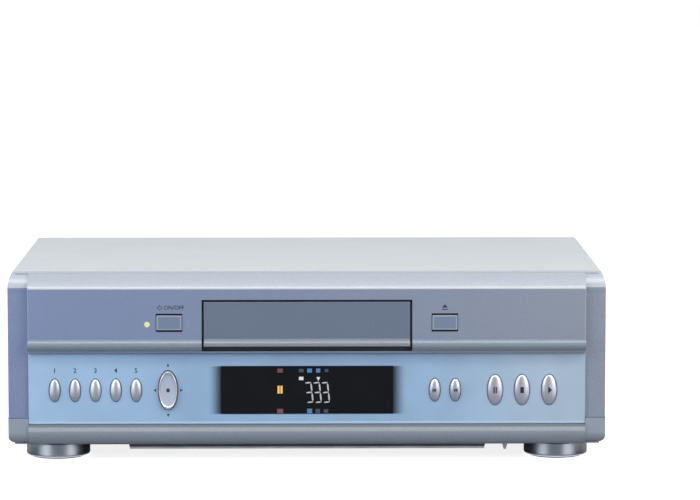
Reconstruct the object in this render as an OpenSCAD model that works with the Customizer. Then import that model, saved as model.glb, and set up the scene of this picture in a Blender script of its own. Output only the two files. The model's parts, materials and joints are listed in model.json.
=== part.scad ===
// Full-width DVD player with a motor-driven disc tray in the front.
// Millimetres, +Z up, front towards -Y, origin under the middle on the floor.
// Inside the file y is counted backwards from the face of the front band.

/* [Cabinet] */
// Width across the front panel
body_w = 430; // [424:1:440]
// Depth from the front band to the outer face of the rear panel
body_d = 258; // [254:1:275]
// How far each side of the cover stands in from the front panel's end
cover_inset = 2.2; // [1.8:0.1:4.5]
// Sheet thickness of the top cover
cover_t = 0.9; // [0.7:0.1:1.2]
// Outer bend radius along the cover's top edges
cover_bend = 2; // [1.4:0.1:6]
// Height of the lip folded down over the rear panel
cover_lip = 11; // [9:0.5:15]
// Sheet thickness of the chassis and the rear panel
sheet_t = 1; // [0.8:0.1:1.4]
// Depth of the well drawn into the chassis floor
well_drop = 3.7; // [3:0.1:7]
// Width of the well at its bottom
well_w = 256.4; // [250:0.2:262]
// Height of the chassis side flanges
flange_h = 17; // [15:0.5:24]
// Width of a cooling slot
vent_w = 2.4; // [1.6:0.2:3.2]
// Pitch of the cooling slots
vent_pitch = 6; // [5:0.5:9]

/* [Feet] */
// Height of the chassis floor above the surface
foot_h = 10.7; // [10:0.1:15]
// Diameter of a front foot
front_foot_d = 46; // [40:0.5:50]
// Diameter of a rear foot
rear_foot_d = 32; // [26:0.5:40]
// Distance of the feet from the middle
foot_x = 181.1; // [170:0.1:184]
// Distance of the front feet behind the band
front_foot_y = 32; // [30:0.5:45]
// Distance of the rear feet from the rear panel
rear_foot_y = 36; // [25:0.5:50]
// Thickness of a rubber pad
pad_t = 2; // [1.5:0.1:3]
// Radius of a case screw
screw_r = 1.5; // [1.3:0.1:1.7]
// Radius of a case screw's head
head_r = 3; // [2.6:0.1:3.4]
// Height of a case screw's head
head_h = 2; // [1.6:0.1:2.6]

/* [Front panel] */
// Wall of the moulding
wall_t = 2.5; // [2:0.1:3]
// Depth of the moulding at its ends
panel_d = 24; // [20:0.5:28]
// Height of the rounded lower rail
lip_h = 15.7; // [13.5:0.1:17]
// Radius of the lower rail
lip_r = 12; // [10:0.5:13]
// How far the lower rail stands behind the band
lip_set = 1; // [0.5:0.1:2]
// Height of the recess for the control panel
control_h = 52.2; // [50:0.1:58]
// Height of the ledge over the control panel
ledge_h = 2; // [1.5:0.1:3]
// Radius of the half-round bead under the band
bead_r = 4; // [3.5:0.1:4.5]
// Height of the flat band
band_h = 36.8; // [36:0.1:44]
// Height of the sloping shoulder
shoulder_h = 11.1; // [9:0.1:13]
// Depth of the sloping shoulder
shoulder_d = 13; // [11:0.1:15]
// Radius of the shoulder's curve
shoulder_r = 30; // [20:0.5:40]
// Radius of the edge between the shoulder and the band
edge_r = 3; // [1:0.1:5]
// Bevel down the band's ends
end_bevel = 0.8; // [0.3:0.1:1.5]
// Width of each end cheek
cheek_w = 14.5; // [13:0.1:15]
// How far the cheeks stand behind the band
cheek_set = 5; // [4:0.1:6]
// How far the shoulder's brow over the cheeks stands behind the band
brow_set = 4.6; // [1:0.1:5]
// How far the block at a cheek's foot stands behind the band
block_set = 2.6; // [2:0.1:3.5]
// Height of the block at a cheek's foot
block_h = 19; // [15:0.1:22]
// Radius of the cheeks' outer lower corner
corner_r = 5; // [3:0.1:7]
// Radius of the cheeks' outer upper corner
crown_r = 20; // [16:0.5:26]

/* [Control panel] */
// Thickness of the acrylic sheet
acrylic_t = 2.5; // [2:0.1:3]
// How far the acrylic face stands behind the band
acrylic_set = 3; // [2.5:0.1:3.5]
// Bevel along the acrylic sheet's long edges
acrylic_bevel = 0.7; // [0.3:0.1:1]
// Width of the display window
window_w = 124; // [118:0.5:128]
// Height of the display window
window_h = 34.8; // [32:0.1:36]
// Centre of the window and the keys above the recess's lower edge
window_rise = 25; // [24:0.1:27]
// Diameter of the standby light
lens_d = 3.8; // [3:0.1:5]

/* [Keys] */
// Gap between a key and its opening
key_gap = 0.4; // [0.3:0.05:0.5]
// Travel of a key
key_travel = 0.9; // [0.6:0.1:1]
// How far the oval keys stand out of the acrylic
key_proud = 2.4; // [1.8:0.1:3]
// Width of a small oval key
small_key_w = 7.8; // [7:0.1:8.6]
// Height of a small oval key
small_key_h = 16.4; // [15:0.1:18]
// Width of a large oval key
large_key_w = 10.9; // [10:0.1:12]
// Height of a large oval key
large_key_h = 22; // [20:0.1:23]
// Width of the direction pad
nav_w = 13.4; // [12:0.1:14.5]
// Height of the direction pad
nav_h = 28; // [26:0.1:30]
// Width of a rectangular key in the band
band_key_w = 18.1; // [16:0.1:20]
// Height of a rectangular key in the band
band_key_h = 10.6; // [10:0.1:13.4]
// Gap above and below a rectangular key
band_key_slot = 1.3; // [0.3:0.1:1.6]
// How far the rectangular keys stand out of the band
band_key_proud = 0.8; // [0.4:0.1:1.2]

/* [Disc tray] */
// Width of the tray's opening in the band
opening_w = 151.2; // [150.6:0.1:153]
// Band left above the tray's opening
opening_top = 8.3; // [7.5:0.1:9]
// Gap round the tray's front
fascia_gap = 1.6; // [1.2:0.1:2]
// Width of the tray between its guides
tray_w = 140; // [139:0.1:140.6]
// Height of the tray's side walls
tray_h = 12; // [11.6:0.1:12.6]
// Thickness of the tray's floor
tray_floor_t = 2.5; // [2:0.1:2.8]
// Diameter of the disc recess
disc_recess_d = 121; // [120.6:0.1:122]
// Diameter of the inner recess for small discs
small_recess_d = 81.6; // [81:0.1:83]
// Distance of the disc's centre behind the band when the tray is shut
disc_y = 76; // [75:0.5:79]
// Travel of the tray
tray_travel = 140; // [132:1:142]
// Length of the tray behind its front
tray_len = 189; // [187:0.5:192]

/* [Tray drive] */
// Module of the gear teeth
gear_m = 1; // [0.96:0.01:1.02]
// Teeth of the gear that drives the rack
tray_teeth = 36; // [36:2:36]
// Teeth of the pinion under it
pinion_teeth = 14; // [14:2:14]
// Flank backlash in the teeth
backlash = 0.3; // [0.25:0.05:0.4]
// Groove radius of the large pulley
pulley_r = 13; // [11:0.5:14]
// Groove radius of the motor pulley
motor_pulley_r = 3.2; // [3:0.1:4]
// Thickness of the drive belt
belt_t = 1.2; // [1:0.1:1.5]
// Radius of the gear posts
post_r = 2; // [1.8:0.1:2.4]
// Clearance of a turning part on its pin
run_fit = 0.05; // [0.03:0.01:0.08]

/* [Disc drive] */
// Angle by which the deck hangs down for loading
deck_drop = 5.2; // [4.8:0.1:5.4]
// Width of the deck
deck_w = 90; // [84:1:92]
// Radius of the turntable
turntable_r = 14.5; // [13:0.1:15]
// Radius of the pickup's guide rods
rod_r = 1.5; // [1.2:0.1:1.6]
// Distance between the guide rods
rod_gap = 48; // [46:0.5:50]
// Travel of the pickup
sled_travel = 33; // [30:0.5:33]
// Radius of the lead screw
lead_r = 2; // [1.6:0.1:2.2]
// Travel of the cam slide that lifts the deck
cam_travel = 24; // [22:0.5:26]

/* [Connectors] */
// Outer radius of a phono jack's barrel
rca_r = 4.15; // [4.1:0.01:4.2]
// Bore radius for the plug's pin
rca_bore_r = 1.6; // [1.55:0.01:1.7]
// Pitch of the phono jacks
rca_pitch = 14; // [13:0.1:15]
// How far the phono jacks stand out of the rear panel
jack_reach = 8.5; // [8:0.1:9.5]

/* [Hidden] */
$fn = 64;

// Fits shared by many pieces
slip = 0.3;
touch = 0.1;
eps = 0.5;
oval_n = 48;
dome_n = 96;
dome_in = 0.99;

// Heights above the floor, stacked from the feet up
floor_z = foot_h + sheet_t;
well_z = foot_h - well_drop + sheet_t;
control_z = foot_h + lip_h;
ledge_z = control_z + control_h;
bead_z = ledge_z + ledge_h + bead_r;
band_z = bead_z + bead_r;
shoulder_z = band_z + band_h;
top_z = shoulder_z + shoulder_h;
key_z = control_z + window_rise;
block_z = foot_h + 2;

// Widths
panel_w = body_w - 2 * cheek_w;
cover_w = body_w - 2 * cover_inset;
chassis_w = cover_w - 2 * cover_t - 2 * slip;
rear_w = chassis_w - 2 * slip;
end_t = cover_inset - slip;
well_lean = 0.8;

// Depths behind the band
front_y = -(body_d + jack_reach - bead_r) / 2;
cover_y = shoulder_d + slip;
pan_y = lip_set + lip_r + 1.3;
rear_in = body_d - sheet_t;
backing_y = acrylic_set + acrylic_t;
backing_back = backing_y + wall_t;
key_seat = 0.2;
flange_t = 1.4;
flange_rim = 1.4;
slot_rim = 1;
board_t = 1.6;
switch_body = 3.5;
switch_tip = 0.9;
plunger_l = 1;
plunger_y = backing_back + key_seat + flange_t + plunger_l;
tip_y = plunger_y + key_travel + touch;
board_y = tip_y + switch_tip + switch_body;
boss_r = 3;
pilot_r = 1.2;
pilot_gap = 0.3;
foot_seat = 4;
pad_in = 13;
pad_out = 4;
tab_half = 8;
tab_over = 6;

// Key places across the front
function_x = [-181.5, -166.9, -152.2, -137.6, -123];
skip_x = [91.9, 106.7];
transport_x = [135.4, 154.8, 174.4];
nav_x = -100;
band_key_x = 99;
lens_x = -114.8;
band_key_z = band_z + 12;
lens_z = band_key_z - 1.3;
lens_proud = 0.6;
lens_rim = 1.1;
lamp_l = 3;
board_boss_x = [-192, -77, 77, 192];

// Ring and shaft behind the direction pad
nav_press = 0.6;
nav_seat = 1;
gimbal_y = backing_back + 4.6;
gimbal_t = 2;
gimbal_pin_r = 0.8;
gimbal_boss_x = 11;
nav_shaft_r = 2;
nav_end_y = gimbal_y + 1.4;
ring_out = 14;
ring_in = 9;
stem_w = 8;
nav_gap = 0.25;

// Tray opening and tray heights
opening_z = ledge_z + ledge_h - 0.7;
opening_top_z = shoulder_z - opening_top;
fascia_z = opening_z + fascia_gap + 2.2;
fascia_top_z = opening_top_z - fascia_gap;
fascia_w = opening_w - 2 * fascia_gap + 0.1;
fascia_t = 3;
tray_y = fascia_t;
tray_z = fascia_z + slip;
tray_wall_t = 3;
seat_z = tray_z + 6.5;
tray_under_z = seat_z - tray_floor_t;
rim_z = tray_z + tray_h;
small_recess = 0.9;
slot_r = 20;
bridge_l = 14;
rack_over = 6;
rack_lead = 11;

// Loader frame round the tray
frame_y = panel_d;
frame_len = 181;
frame_wall = 3;
frame_in = tray_w / 2 + 0.4;
frame_out = frame_in + frame_wall;
frame_z = tray_z - 24;
frame_top_z = rim_z + 2.4;
guide_in = tray_w / 2 - tray_wall_t - 0.5;
plate_z = tray_z - 10;
plate_t = 2.5;
plate_len = 29.7;
ear_w = 14;
ear_t = 2.5;
ear_reach = 6;
ear_hole_r = 3.2;
grommet_lip = 1.5;
grommet_r = 5;
ear_y = [frame_y + 13, frame_y + 168];
ear_x = frame_out + 0.6 + ear_reach;
damper_h = 2.8;
stand_t = 1.2;
stand_top_z = frame_z - damper_h;

// Gear train, on vertical posts in front of the deck
gear_in = 28;
gear_x = gear_in - tray_w / 2;
gear_y = 38;
gear_r = gear_m * tray_teeth / 2;
pinion_r = gear_m * pinion_teeth / 2;
pulley_x = gear_x + gear_r + pinion_r;
motor_x = pulley_x + 39;
gear_z = tray_z - 0.8;
gear_top_z = tray_under_z - 0.6;
collar_h = 1;
pulley_z = plate_z + plate_t + collar_h + 0.2;
pulley_h = 4;
rack_x = gear_x - gear_r;
tooth_add = 0.8;
tooth_ded = 1.15;
tooth_angle = 20;
motor_r = 12;
motor_h = 19;
motor_shaft_r = 1;

// Traverse deck, drawn level and then let down about its rear pivot
deck_z = tray_z - 8;
deck_t = 2.5;
deck_front = 58;
pivot_y = 185;
pivot_z = deck_z + 3;
pivot_r = 2;
bearing_x = deck_w / 2 + slip;
bearing_t = 4;
clip_l = 4;
sled_l = 28;
sled_y = disc_y + 17;
clip_y = [sled_y - clip_l - 1, sled_y + sled_l + sled_travel + 2];
deck_slot_y = [clip_y[0] + clip_l + touch, clip_y[1] - touch];
rod_z = deck_z + deck_t + 4.6;
spindle_r = 12.5;
spindle_h = 7.5;
disc_plane_z = rim_z - 0.7;
cone_h = 1.5;
hub_r = 7.4;
sled_x = rod_gap / 2 + 4;
sled_z = rod_z - 3;
sled_t = 6;
lens_y = disc_y + 24;
lead_x = rod_gap / 2 + 10;
sled_motor_r = 4.5;
sled_motor_l = 17;

// Cam slide in front of the deck
slide_fit = 0.3;
rest_fit = 0.2;
cam_stop = 4;
cam_y = frame_y + plate_len + slide_fit;
cam_t = 2.5;
cam_z = frame_z + 2.3;
cam_len = 100;
pin_r = 1.5;
pin_z = deck_z + deck_t / 2;
cam_arm = pivot_y - cam_y - cam_t / 2;
pin_low_z = pivot_z + (pin_z - pivot_z) / cos(deck_drop) - cam_arm * tan(deck_drop);
cam_fit = 0.35;

// Disc clamp over the tray
clamp_t = 1.5;
clamp_z = frame_top_z;
clamp_w = 28;
clamp_hole_r = 11;
puck_r = 14;

// Boards on the chassis
board_z = floor_z + 7;
side_board_in = 97;
side_board_out = chassis_w / 2 - sheet_t - 4;
side_board_y = [70, rear_in - 5];
board_post_x = [side_board_in + 5, side_board_out - 5];
board_post_y = [side_board_y[0] + 5, side_board_y[1] - 22];
plug_x = [120, 144];
// Chips, and transformers with a heat sink: span across, span back, height
chips = [
    [135, 163, 130, 158, 2.4], [112, 124, 135, 157, 1.4], [112, 124, 165, 187, 1.4], [170, 182, 170, 180, 1.6]
];
cores = [[-150, -118, 150, 180, 30], [-186, -150, 200, 203, 34], [-150, -128, 205, 221, 24]];
plug_h = 8;
plug_y = side_board_y[0] + 10;
plug_t = 6;
front_plug_z = control_z + 8;
front_plug_l = 5;

// Connectors on the rear panel
jack_depth = 15;
rca_z = board_z + board_t + 14;
rca_x = [104, 126, 148];
collar_r = rca_r + 1.4;
collar_out = 1.5;
panel_gap = 0.2;
jack_half = 7.5;
barrel_t = 0.8;
barrel_root = 4;
barrel_root_r = rca_r - 0.2;
svideo_r = 6.2;
svideo_rise = 24;
inlet_in = 41.6;
inlet_x = inlet_in - chassis_w / 2;
inlet_z = floor_z + 30.3;
inlet_w = 22;
inlet_h = 14;
inlet_depth = 16;
inlet_out = 2;
inlet_well = 12;
inlet_pin_r = 1.2;
inlet_pin_x = 4.4;

// Screw places
side_screw_y = [70, body_d - 45];
side_screw_z = floor_z + 10;
lip_screw_x = [-180, 0, 180];
tab_x = 150;
tab_screw_z = floor_z + 6;
tab_boss_r = boss_r + 0.5;
tab_rise = lip_r + tab_boss_r - tab_screw_z + foot_h;
tab_boss_y = lip_set + lip_r - sqrt(pow(lip_r, 2) - pow(tab_rise, 2)) + slip;
rear_tab_x = 196;
rear_tab_z = floor_z + 8;

// Places everything that is counted from the band
module placed() {
    translate([0, front_y, 0]) children();
}

// Repeats on both sides of the middle
module both_sides() {
    children();
    mirror([1, 0, 0]) children();
}

// Box between two values on each axis
module block(x, y, z) {
    translate([x[0], y[0], z[0]]) cube([x[1] - x[0], y[1] - y[0], z[1] - z[0]]);
}

// Rectangle between two values on each axis
module area(x, y) {
    translate([x[0], y[0]]) square([x[1] - x[0], y[1] - y[0]]);
}

// Extrudes a [y, z] outline across the cabinet between two x values
module across(x) {
    translate([x[0], 0, 0]) rotate([90, 0, 90]) linear_extrude(x[1] - x[0]) children();
}

// Extrudes an [x, z] outline backwards between two y values
module deep(y) {
    translate([0, y[1], 0]) rotate([90, 0, 0]) linear_extrude(y[1] - y[0]) children();
}

// Rod along y between two values
module rod_y(r, y) {
    translate([0, y[1], 0]) rotate([90, 0, 0]) cylinder(r = r, h = y[1] - y[0]);
}

// Rod along x between two values
module rod_x(r, x) {
    translate([x[0], 0, 0]) rotate([0, 90, 0]) cylinder(r = r, h = x[1] - x[0]);
}

// Oval outline in x and z
module oval(w, h) {
    polygon([for (i = [0:oval_n - 1]) [w / 2 * cos(360 * i / oval_n), h / 2 * sin(360 * i / oval_n)]]);
}

// Rectangle with both upper corners rounded
module arch(w, z, r) {
    area([-w / 2, w / 2], [z[0], z[1] - r]);
    area([-w / 2 + r, w / 2 - r], [z[0], z[1]]);
    for (side = [-1, 1]) translate([side * (w / 2 - r), z[1] - r]) circle(r);
}

// Rectangle with all corners rounded
module rounded(w, h, r) {
    square([w - 2 * r, h], center = true);
    square([w, h - 2 * r], center = true);
    for (x = [-1, 1], y = [-1, 1]) translate([x * (w / 2 - r), y * (h / 2 - r)]) circle(r);
}

// Slot with round ends from one point to another
module slot_between(a, b, r) {
    run = norm(b - a);
    turn = atan2(b[1] - a[1], b[0] - a[0]);
    translate(a) rotate(turn) {
        translate([0, -r]) square([run, 2 * r]);
        circle(r);
        translate([run, 0]) circle(r);
    }
}

// Row of upright cooling slots in an [x, z] outline, centred on x
module vent_row(x, count, z, h) {
    for (i = [0:count - 1]) {
        sx = x + (i - (count - 1) / 2) * vent_pitch;
        slot_between([sx, z], [sx, z + h], vent_w / 2);
    }
}

// Point on an involute, turned by a start angle
function involute(base, roll, start) = [
    base * (cos(start + roll) + roll * PI / 180 * sin(start + roll)),
    base * (sin(start + roll) - roll * PI / 180 * cos(start + roll))
];
function roll_at(base, r) = 180 / PI * sqrt(max(0, pow(r / base, 2) - 1));
function mirrored(points) = [for (i = [len(points) - 1:-1:0]) [points[i][0], -points[i][1]]];
function turned(points, a) = [
    for (p = points) [p[0] * cos(a) - p[1] * sin(a), p[0] * sin(a) + p[1] * cos(a)]
];

// One tooth's outline, pointing along +x
function tooth_outline(pitch_r, teeth, steps) =
    let (
        base = pitch_r * cos(tooth_angle),
        tip = pitch_r + tooth_add * gear_m,
        root = pitch_r - tooth_ded * gear_m,
        pitch_roll = roll_at(base, pitch_r),
        spread = pitch_roll - atan(pitch_roll * PI / 180),
        half = 90 / teeth - backlash / 4 / pitch_r * 180 / PI,
        first = roll_at(base, max(root, base)),
        last = roll_at(base, tip),
        flank = [for (i = [0:steps]) involute(base, first + (last - first) * i / steps, -half - spread)],
        foot = [root * cos(-half - spread), root * sin(-half - spread)]
    )
    concat([foot], flank, mirrored(flank), [[foot[0], -foot[1]]]);

// Spur gear outline with a tooth on +x, turned by an angle
module gear_outline(teeth, turn = 0) {
    pitch_r = gear_m * teeth / 2;
    tooth = tooth_outline(pitch_r, teeth, 4);
    polygon([for (i = [0:teeth - 1]) each turned(tooth, turn + 360 * i / teeth)]);
}

// Rack tooth outline, pointing along +x, centred on y = 0
module rack_tooth() {
    half = gear_m * PI / 4 - backlash / 4;
    lean = tan(tooth_angle);
    tip = tooth_add * gear_m;
    root = tooth_ded * gear_m + eps;
    polygon([
        [-root, -half - root * lean],
        [tip, -half + tip * lean],
        [tip, half - tip * lean],
        [-root, half + root * lean]
    ]);
}

// Loop round two wheels lying along x
module belt_loop(near_r, far_r, run) {
    lean = asin((near_r - far_r) / run);
    circle(near_r);
    translate([run, 0]) circle(far_r);
    polygon([
        [near_r * sin(lean), near_r * cos(lean)],
        [run + far_r * sin(lean), far_r * cos(lean)],
        [run + far_r * sin(lean), -far_r * cos(lean)],
        [near_r * sin(lean), -near_r * cos(lean)]
    ]);
}

// Lets the deck and all that it carries down to the loading position
module lowered() {
    translate([0, pivot_y, pivot_z]) rotate([deck_drop, 0, 0])
        translate([0, -pivot_y, -pivot_z]) children();
}

// Case screw pointing along +z with its head's underside at the origin
module screw(l) {
    cylinder(r = screw_r, h = l);
    translate([0, 0, -head_h]) cylinder(r1 = head_r - 0.5, r2 = head_r, h = head_h);
}

// Drawn well outline in x and z, let in by an amount
module well_outline(inside) {
    w = well_w / 2 - inside;
    polygon([
        [-w, foot_h - well_drop + inside],
        [w, foot_h - well_drop + inside],
        [w + well_lean, foot_h + inside],
        [-w - well_lean, foot_h + inside]
    ]);
}

// Chassis: folded pan with a drawn well, board posts and tabs
module chassis_pan() {
    color([0.72, 0.73, 0.74]) difference() {
        union() {
            deep([pan_y, rear_in]) difference() {
                union() {
                    area([-chassis_w / 2, chassis_w / 2], [foot_h, foot_h + flange_h]);
                    well_outline(0);
                }
                area([sheet_t - chassis_w / 2, chassis_w / 2 - sheet_t], [floor_z, foot_h + flange_h + eps]);
                well_outline(sheet_t);
            }
            deep([pan_y, pan_y + sheet_t]) well_outline(0);
            deep([rear_in - sheet_t, rear_in]) well_outline(0);
            both_sides() {
                block(
                    [tab_x - tab_half, tab_x + tab_half], [pan_y, pan_y + sheet_t],
                    [foot_h, tab_screw_z + tab_over]
                );
                block(
                    [rear_tab_x - tab_half, rear_tab_x + tab_half],
                    [rear_in - sheet_t, rear_in], [foot_h, rear_tab_z + tab_over]
                );
            }
            for (p = board_posts()) translate([p[0], p[1], post_floor(p[0]) - touch])
                cylinder(r = boss_r, h = board_z - post_floor(p[0]) + touch);
        }
        for (p = board_posts()) translate([p[0], p[1], board_z - 6]) cylinder(r = pilot_r, h = 6 + eps);
        for (p = feet_places()) translate([p[0], p[1], foot_h - eps])
            cylinder(r = screw_r + touch, h = sheet_t + 2 * eps);
        both_sides() {
            for (y = side_screw_y) translate([0, y, side_screw_z])
                rod_x(screw_r + touch, [chassis_w / 2 - sheet_t - eps, chassis_w / 2 + eps]);
            translate([tab_x, 0, tab_screw_z]) rod_y(screw_r + touch, [pan_y - eps, pan_y + sheet_t + eps]);
            translate([rear_tab_x, 0, rear_tab_z])
                rod_y(screw_r + touch, [rear_in - sheet_t - eps, rear_in + eps]);
            translate([0, 0, foot_h - well_drop - eps]) linear_extrude(sheet_t + 2 * eps)
                translate([well_w / 2 - 40, 120]) for (i = [0:9])
                    slot_between([0, i * vent_pitch], [30, i * vent_pitch], vent_w / 2);
        }
    }
}

// Posts under the two side boards, and the floor under a post
function board_posts() = [
    for (side = [-1, 1], x = board_post_x, y = board_post_y) [side * x, y]
];
function post_floor(x) = abs(x) < well_w / 2 ? well_z : floor_z;
function feet_places() = [
    for (side = [-1, 1], y = [front_foot_y, body_d - rear_foot_y]) [side * foot_x, y]
];

// Rear panel with jack holes, inlet cut-out and cooling slots
module rear_panel() {
    color([0.70, 0.71, 0.72]) difference() {
        deep([rear_in, body_d]) arch(rear_w, [floor_z + touch, top_z - cover_t - slip], cover_bend);
        for (p = rca_places()) translate([p[0], 0, p[1]])
            rod_y(collar_r + panel_gap, [rear_in - eps, body_d + eps]);
        translate([rca_x[2], 0, rca_z + svideo_rise])
            rod_y(svideo_r + panel_gap, [rear_in - eps, body_d + eps]);
        deep([rear_in - eps, body_d + eps]) {
            translate([inlet_x, inlet_z]) square([inlet_w + 2 * slip, inlet_h + 2 * slip], center = true);
            vent_row(-90, 12, top_z - 60, 30);
            vent_row(20, 12, top_z - 60, 30);
        }
        for (x = lip_screw_x) translate([x, 0, top_z - cover_lip / 2])
            rod_y(screw_r + touch, [rear_in - eps, body_d + eps]);
        both_sides() translate([rear_tab_x, 0, rear_tab_z])
            rod_y(screw_r + touch, [rear_in - eps, body_d + eps]);
    }
}
function rca_places() = concat(
    [for (x = [rca_x[0], rca_x[1]], i = [0:2]) [x, rca_z + i * rca_pitch]],
    [[rca_x[2], rca_z]]
);

// Top cover: one folded sheet with a lip over the rear panel
module top_cover() {
    bottom = floor_z + slip;
    back = body_d + touch + cover_t;
    color([0.84, 0.85, 0.86]) difference() {
        union() {
            deep([cover_y, back]) difference() {
                arch(cover_w, [bottom, top_z], cover_bend);
                arch(cover_w - 2 * cover_t, [bottom - eps, top_z - cover_t], cover_bend - cover_t);
            }
            deep([body_d + touch, back]) intersection() {
                arch(cover_w, [bottom, top_z], cover_bend);
                area([-cover_w / 2, cover_w / 2], [top_z - cover_lip, top_z]);
            }
        }
        for (x = lip_screw_x) translate([x, 0, top_z - cover_lip / 2])
            rod_y(screw_r + touch, [body_d, back + eps]);
        for (y = side_screw_y) translate([0, y, side_screw_z])
            rod_x(screw_r + touch, [-cover_w / 2 - eps, cover_w / 2 + eps]);
        translate([0, body_d - 70, 0]) across([-cover_w / 2 - eps, cover_w / 2 + eps])
            vent_row(0, 14, top_z - 62, 30);
    }
}

// Centre of the shoulder's curve, which starts at a front point
function shoulder_centre(front) =
    let (rise = [shoulder_d - front, shoulder_h], span = norm(rise))
    let (back = sqrt(pow(shoulder_r, 2) - pow(span / 2, 2)))
    [front, shoulder_z] + rise / 2 + [rise[1], -rise[0]] * back / span;

// Curved wall of the shoulder, from a front point up to the cover's edge
module shoulder_outline(front, thick) {
    intersection() {
        translate(shoulder_centre(front)) difference() {
            circle(shoulder_r, $fn = 180);
            if (thick > 0) circle(shoulder_r - thick, $fn = 180);
        }
        area([front, shoulder_d], [shoulder_z - thick, top_z]);
    }
}

// Sharp part of the edge between the shoulder and the band
module edge_outline() {
    centre = shoulder_centre(0);
    rest_r = shoulder_r - edge_r;
    mid = [edge_r, centre[1] + sqrt(pow(rest_r, 2) - pow(centre[0] - edge_r, 2))];
    end = mid + (mid - centre) * edge_r / rest_r;
    difference() {
        area([-eps, end[0]], [mid[1], end[1]]);
        translate(mid) circle(edge_r);
    }
}

// Rebate under the cover's front edge
module rebate_outline() {
    high = top_z - cover_t - touch;
    area([shoulder_d - wall_t, panel_d], [high - wall_t, high]);
}

// Wall outline of the middle of the front panel in y and z
module centre_outline() {
    lip_mid = [lip_set + lip_r, foot_h + lip_r];
    shoulder_outline(0, wall_t);
    area([0, wall_t], [opening_z, shoulder_z]);
    translate([0, bead_z]) intersection() {
        circle(bead_r);
        area([-bead_r, wall_t], [-bead_r, bead_r]);
    }
    area([0, backing_back], [ledge_z, opening_z]);
    area([backing_y, backing_back], [lip_mid[1], ledge_z]);
    area([lip_set, backing_back], [lip_mid[1], control_z]);
    intersection() {
        translate(lip_mid) difference() {
            circle(lip_r);
            circle(lip_r - wall_t);
        }
        area([lip_set, lip_mid[0]], [foot_h, lip_mid[1]]);
    }
}

// Wall outline of an end cheek in y and z
module cheek_outline() {
    round_r = 8;
    high = block_z + block_h;
    shoulder_outline(brow_set, wall_t);
    area([brow_set, cheek_set + wall_t], [shoulder_z - wall_t, shoulder_z]);
    area([cheek_set, cheek_set + wall_t], [high - eps, shoulder_z]);
    area([block_set, shoulder_d - 1], [block_z + round_r, high]);
    area([block_set + round_r, shoulder_d - 1], [block_z, high]);
    intersection() {
        translate([block_set + round_r, block_z + round_r]) circle(round_r);
        area([block_set, block_set + round_r], [block_z, block_z + round_r]);
    }
}

// Filled side outline at the ends of the front panel
module end_outline() {
    shoulder_outline(brow_set, 0);
    polygon([
        [brow_set, shoulder_z], [shoulder_d, top_z], [panel_d, shoulder_z - 4],
        [panel_d, block_z], [shoulder_d - 1, block_z], [cheek_set, block_z + block_h],
        [cheek_set, shoulder_z - wall_t], [brow_set, shoulder_z - wall_t]
    ]);
    cheek_outline();
}

// Front view of the panel's outer corners
module silhouette() {
    half = body_w / 2;
    area([-half, half], [block_z + corner_r, shoulder_z]);
    area([-half + corner_r, half - corner_r], [block_z, shoulder_z]);
    area([-half + crown_r, half - crown_r], [foot_h, top_z]);
    intersection() {
        for (side = [-1, 1]) translate([side * (half - crown_r), shoulder_z]) circle(crown_r);
        area([-half, half], [shoulder_z - eps, top_z]);
    }
    for (side = [-1, 1]) translate([side * (half - corner_r), block_z + corner_r]) circle(corner_r);
}

// Openings for the oval keys, in x and z
module oval_openings(gap) {
    for (x = function_x) translate([x, key_z]) oval(small_key_w + 2 * gap, small_key_h + 2 * gap);
    for (x = skip_x) translate([x, key_z]) oval(small_key_w + 2 * gap, small_key_h + 2 * gap);
    for (x = transport_x) translate([x, key_z]) oval(large_key_w + 2 * gap, large_key_h + 2 * gap);
    translate([nav_x, key_z]) oval(nav_w + 2 * (gap + nav_gap), nav_h + 2 * (gap + nav_gap));
}

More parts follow.
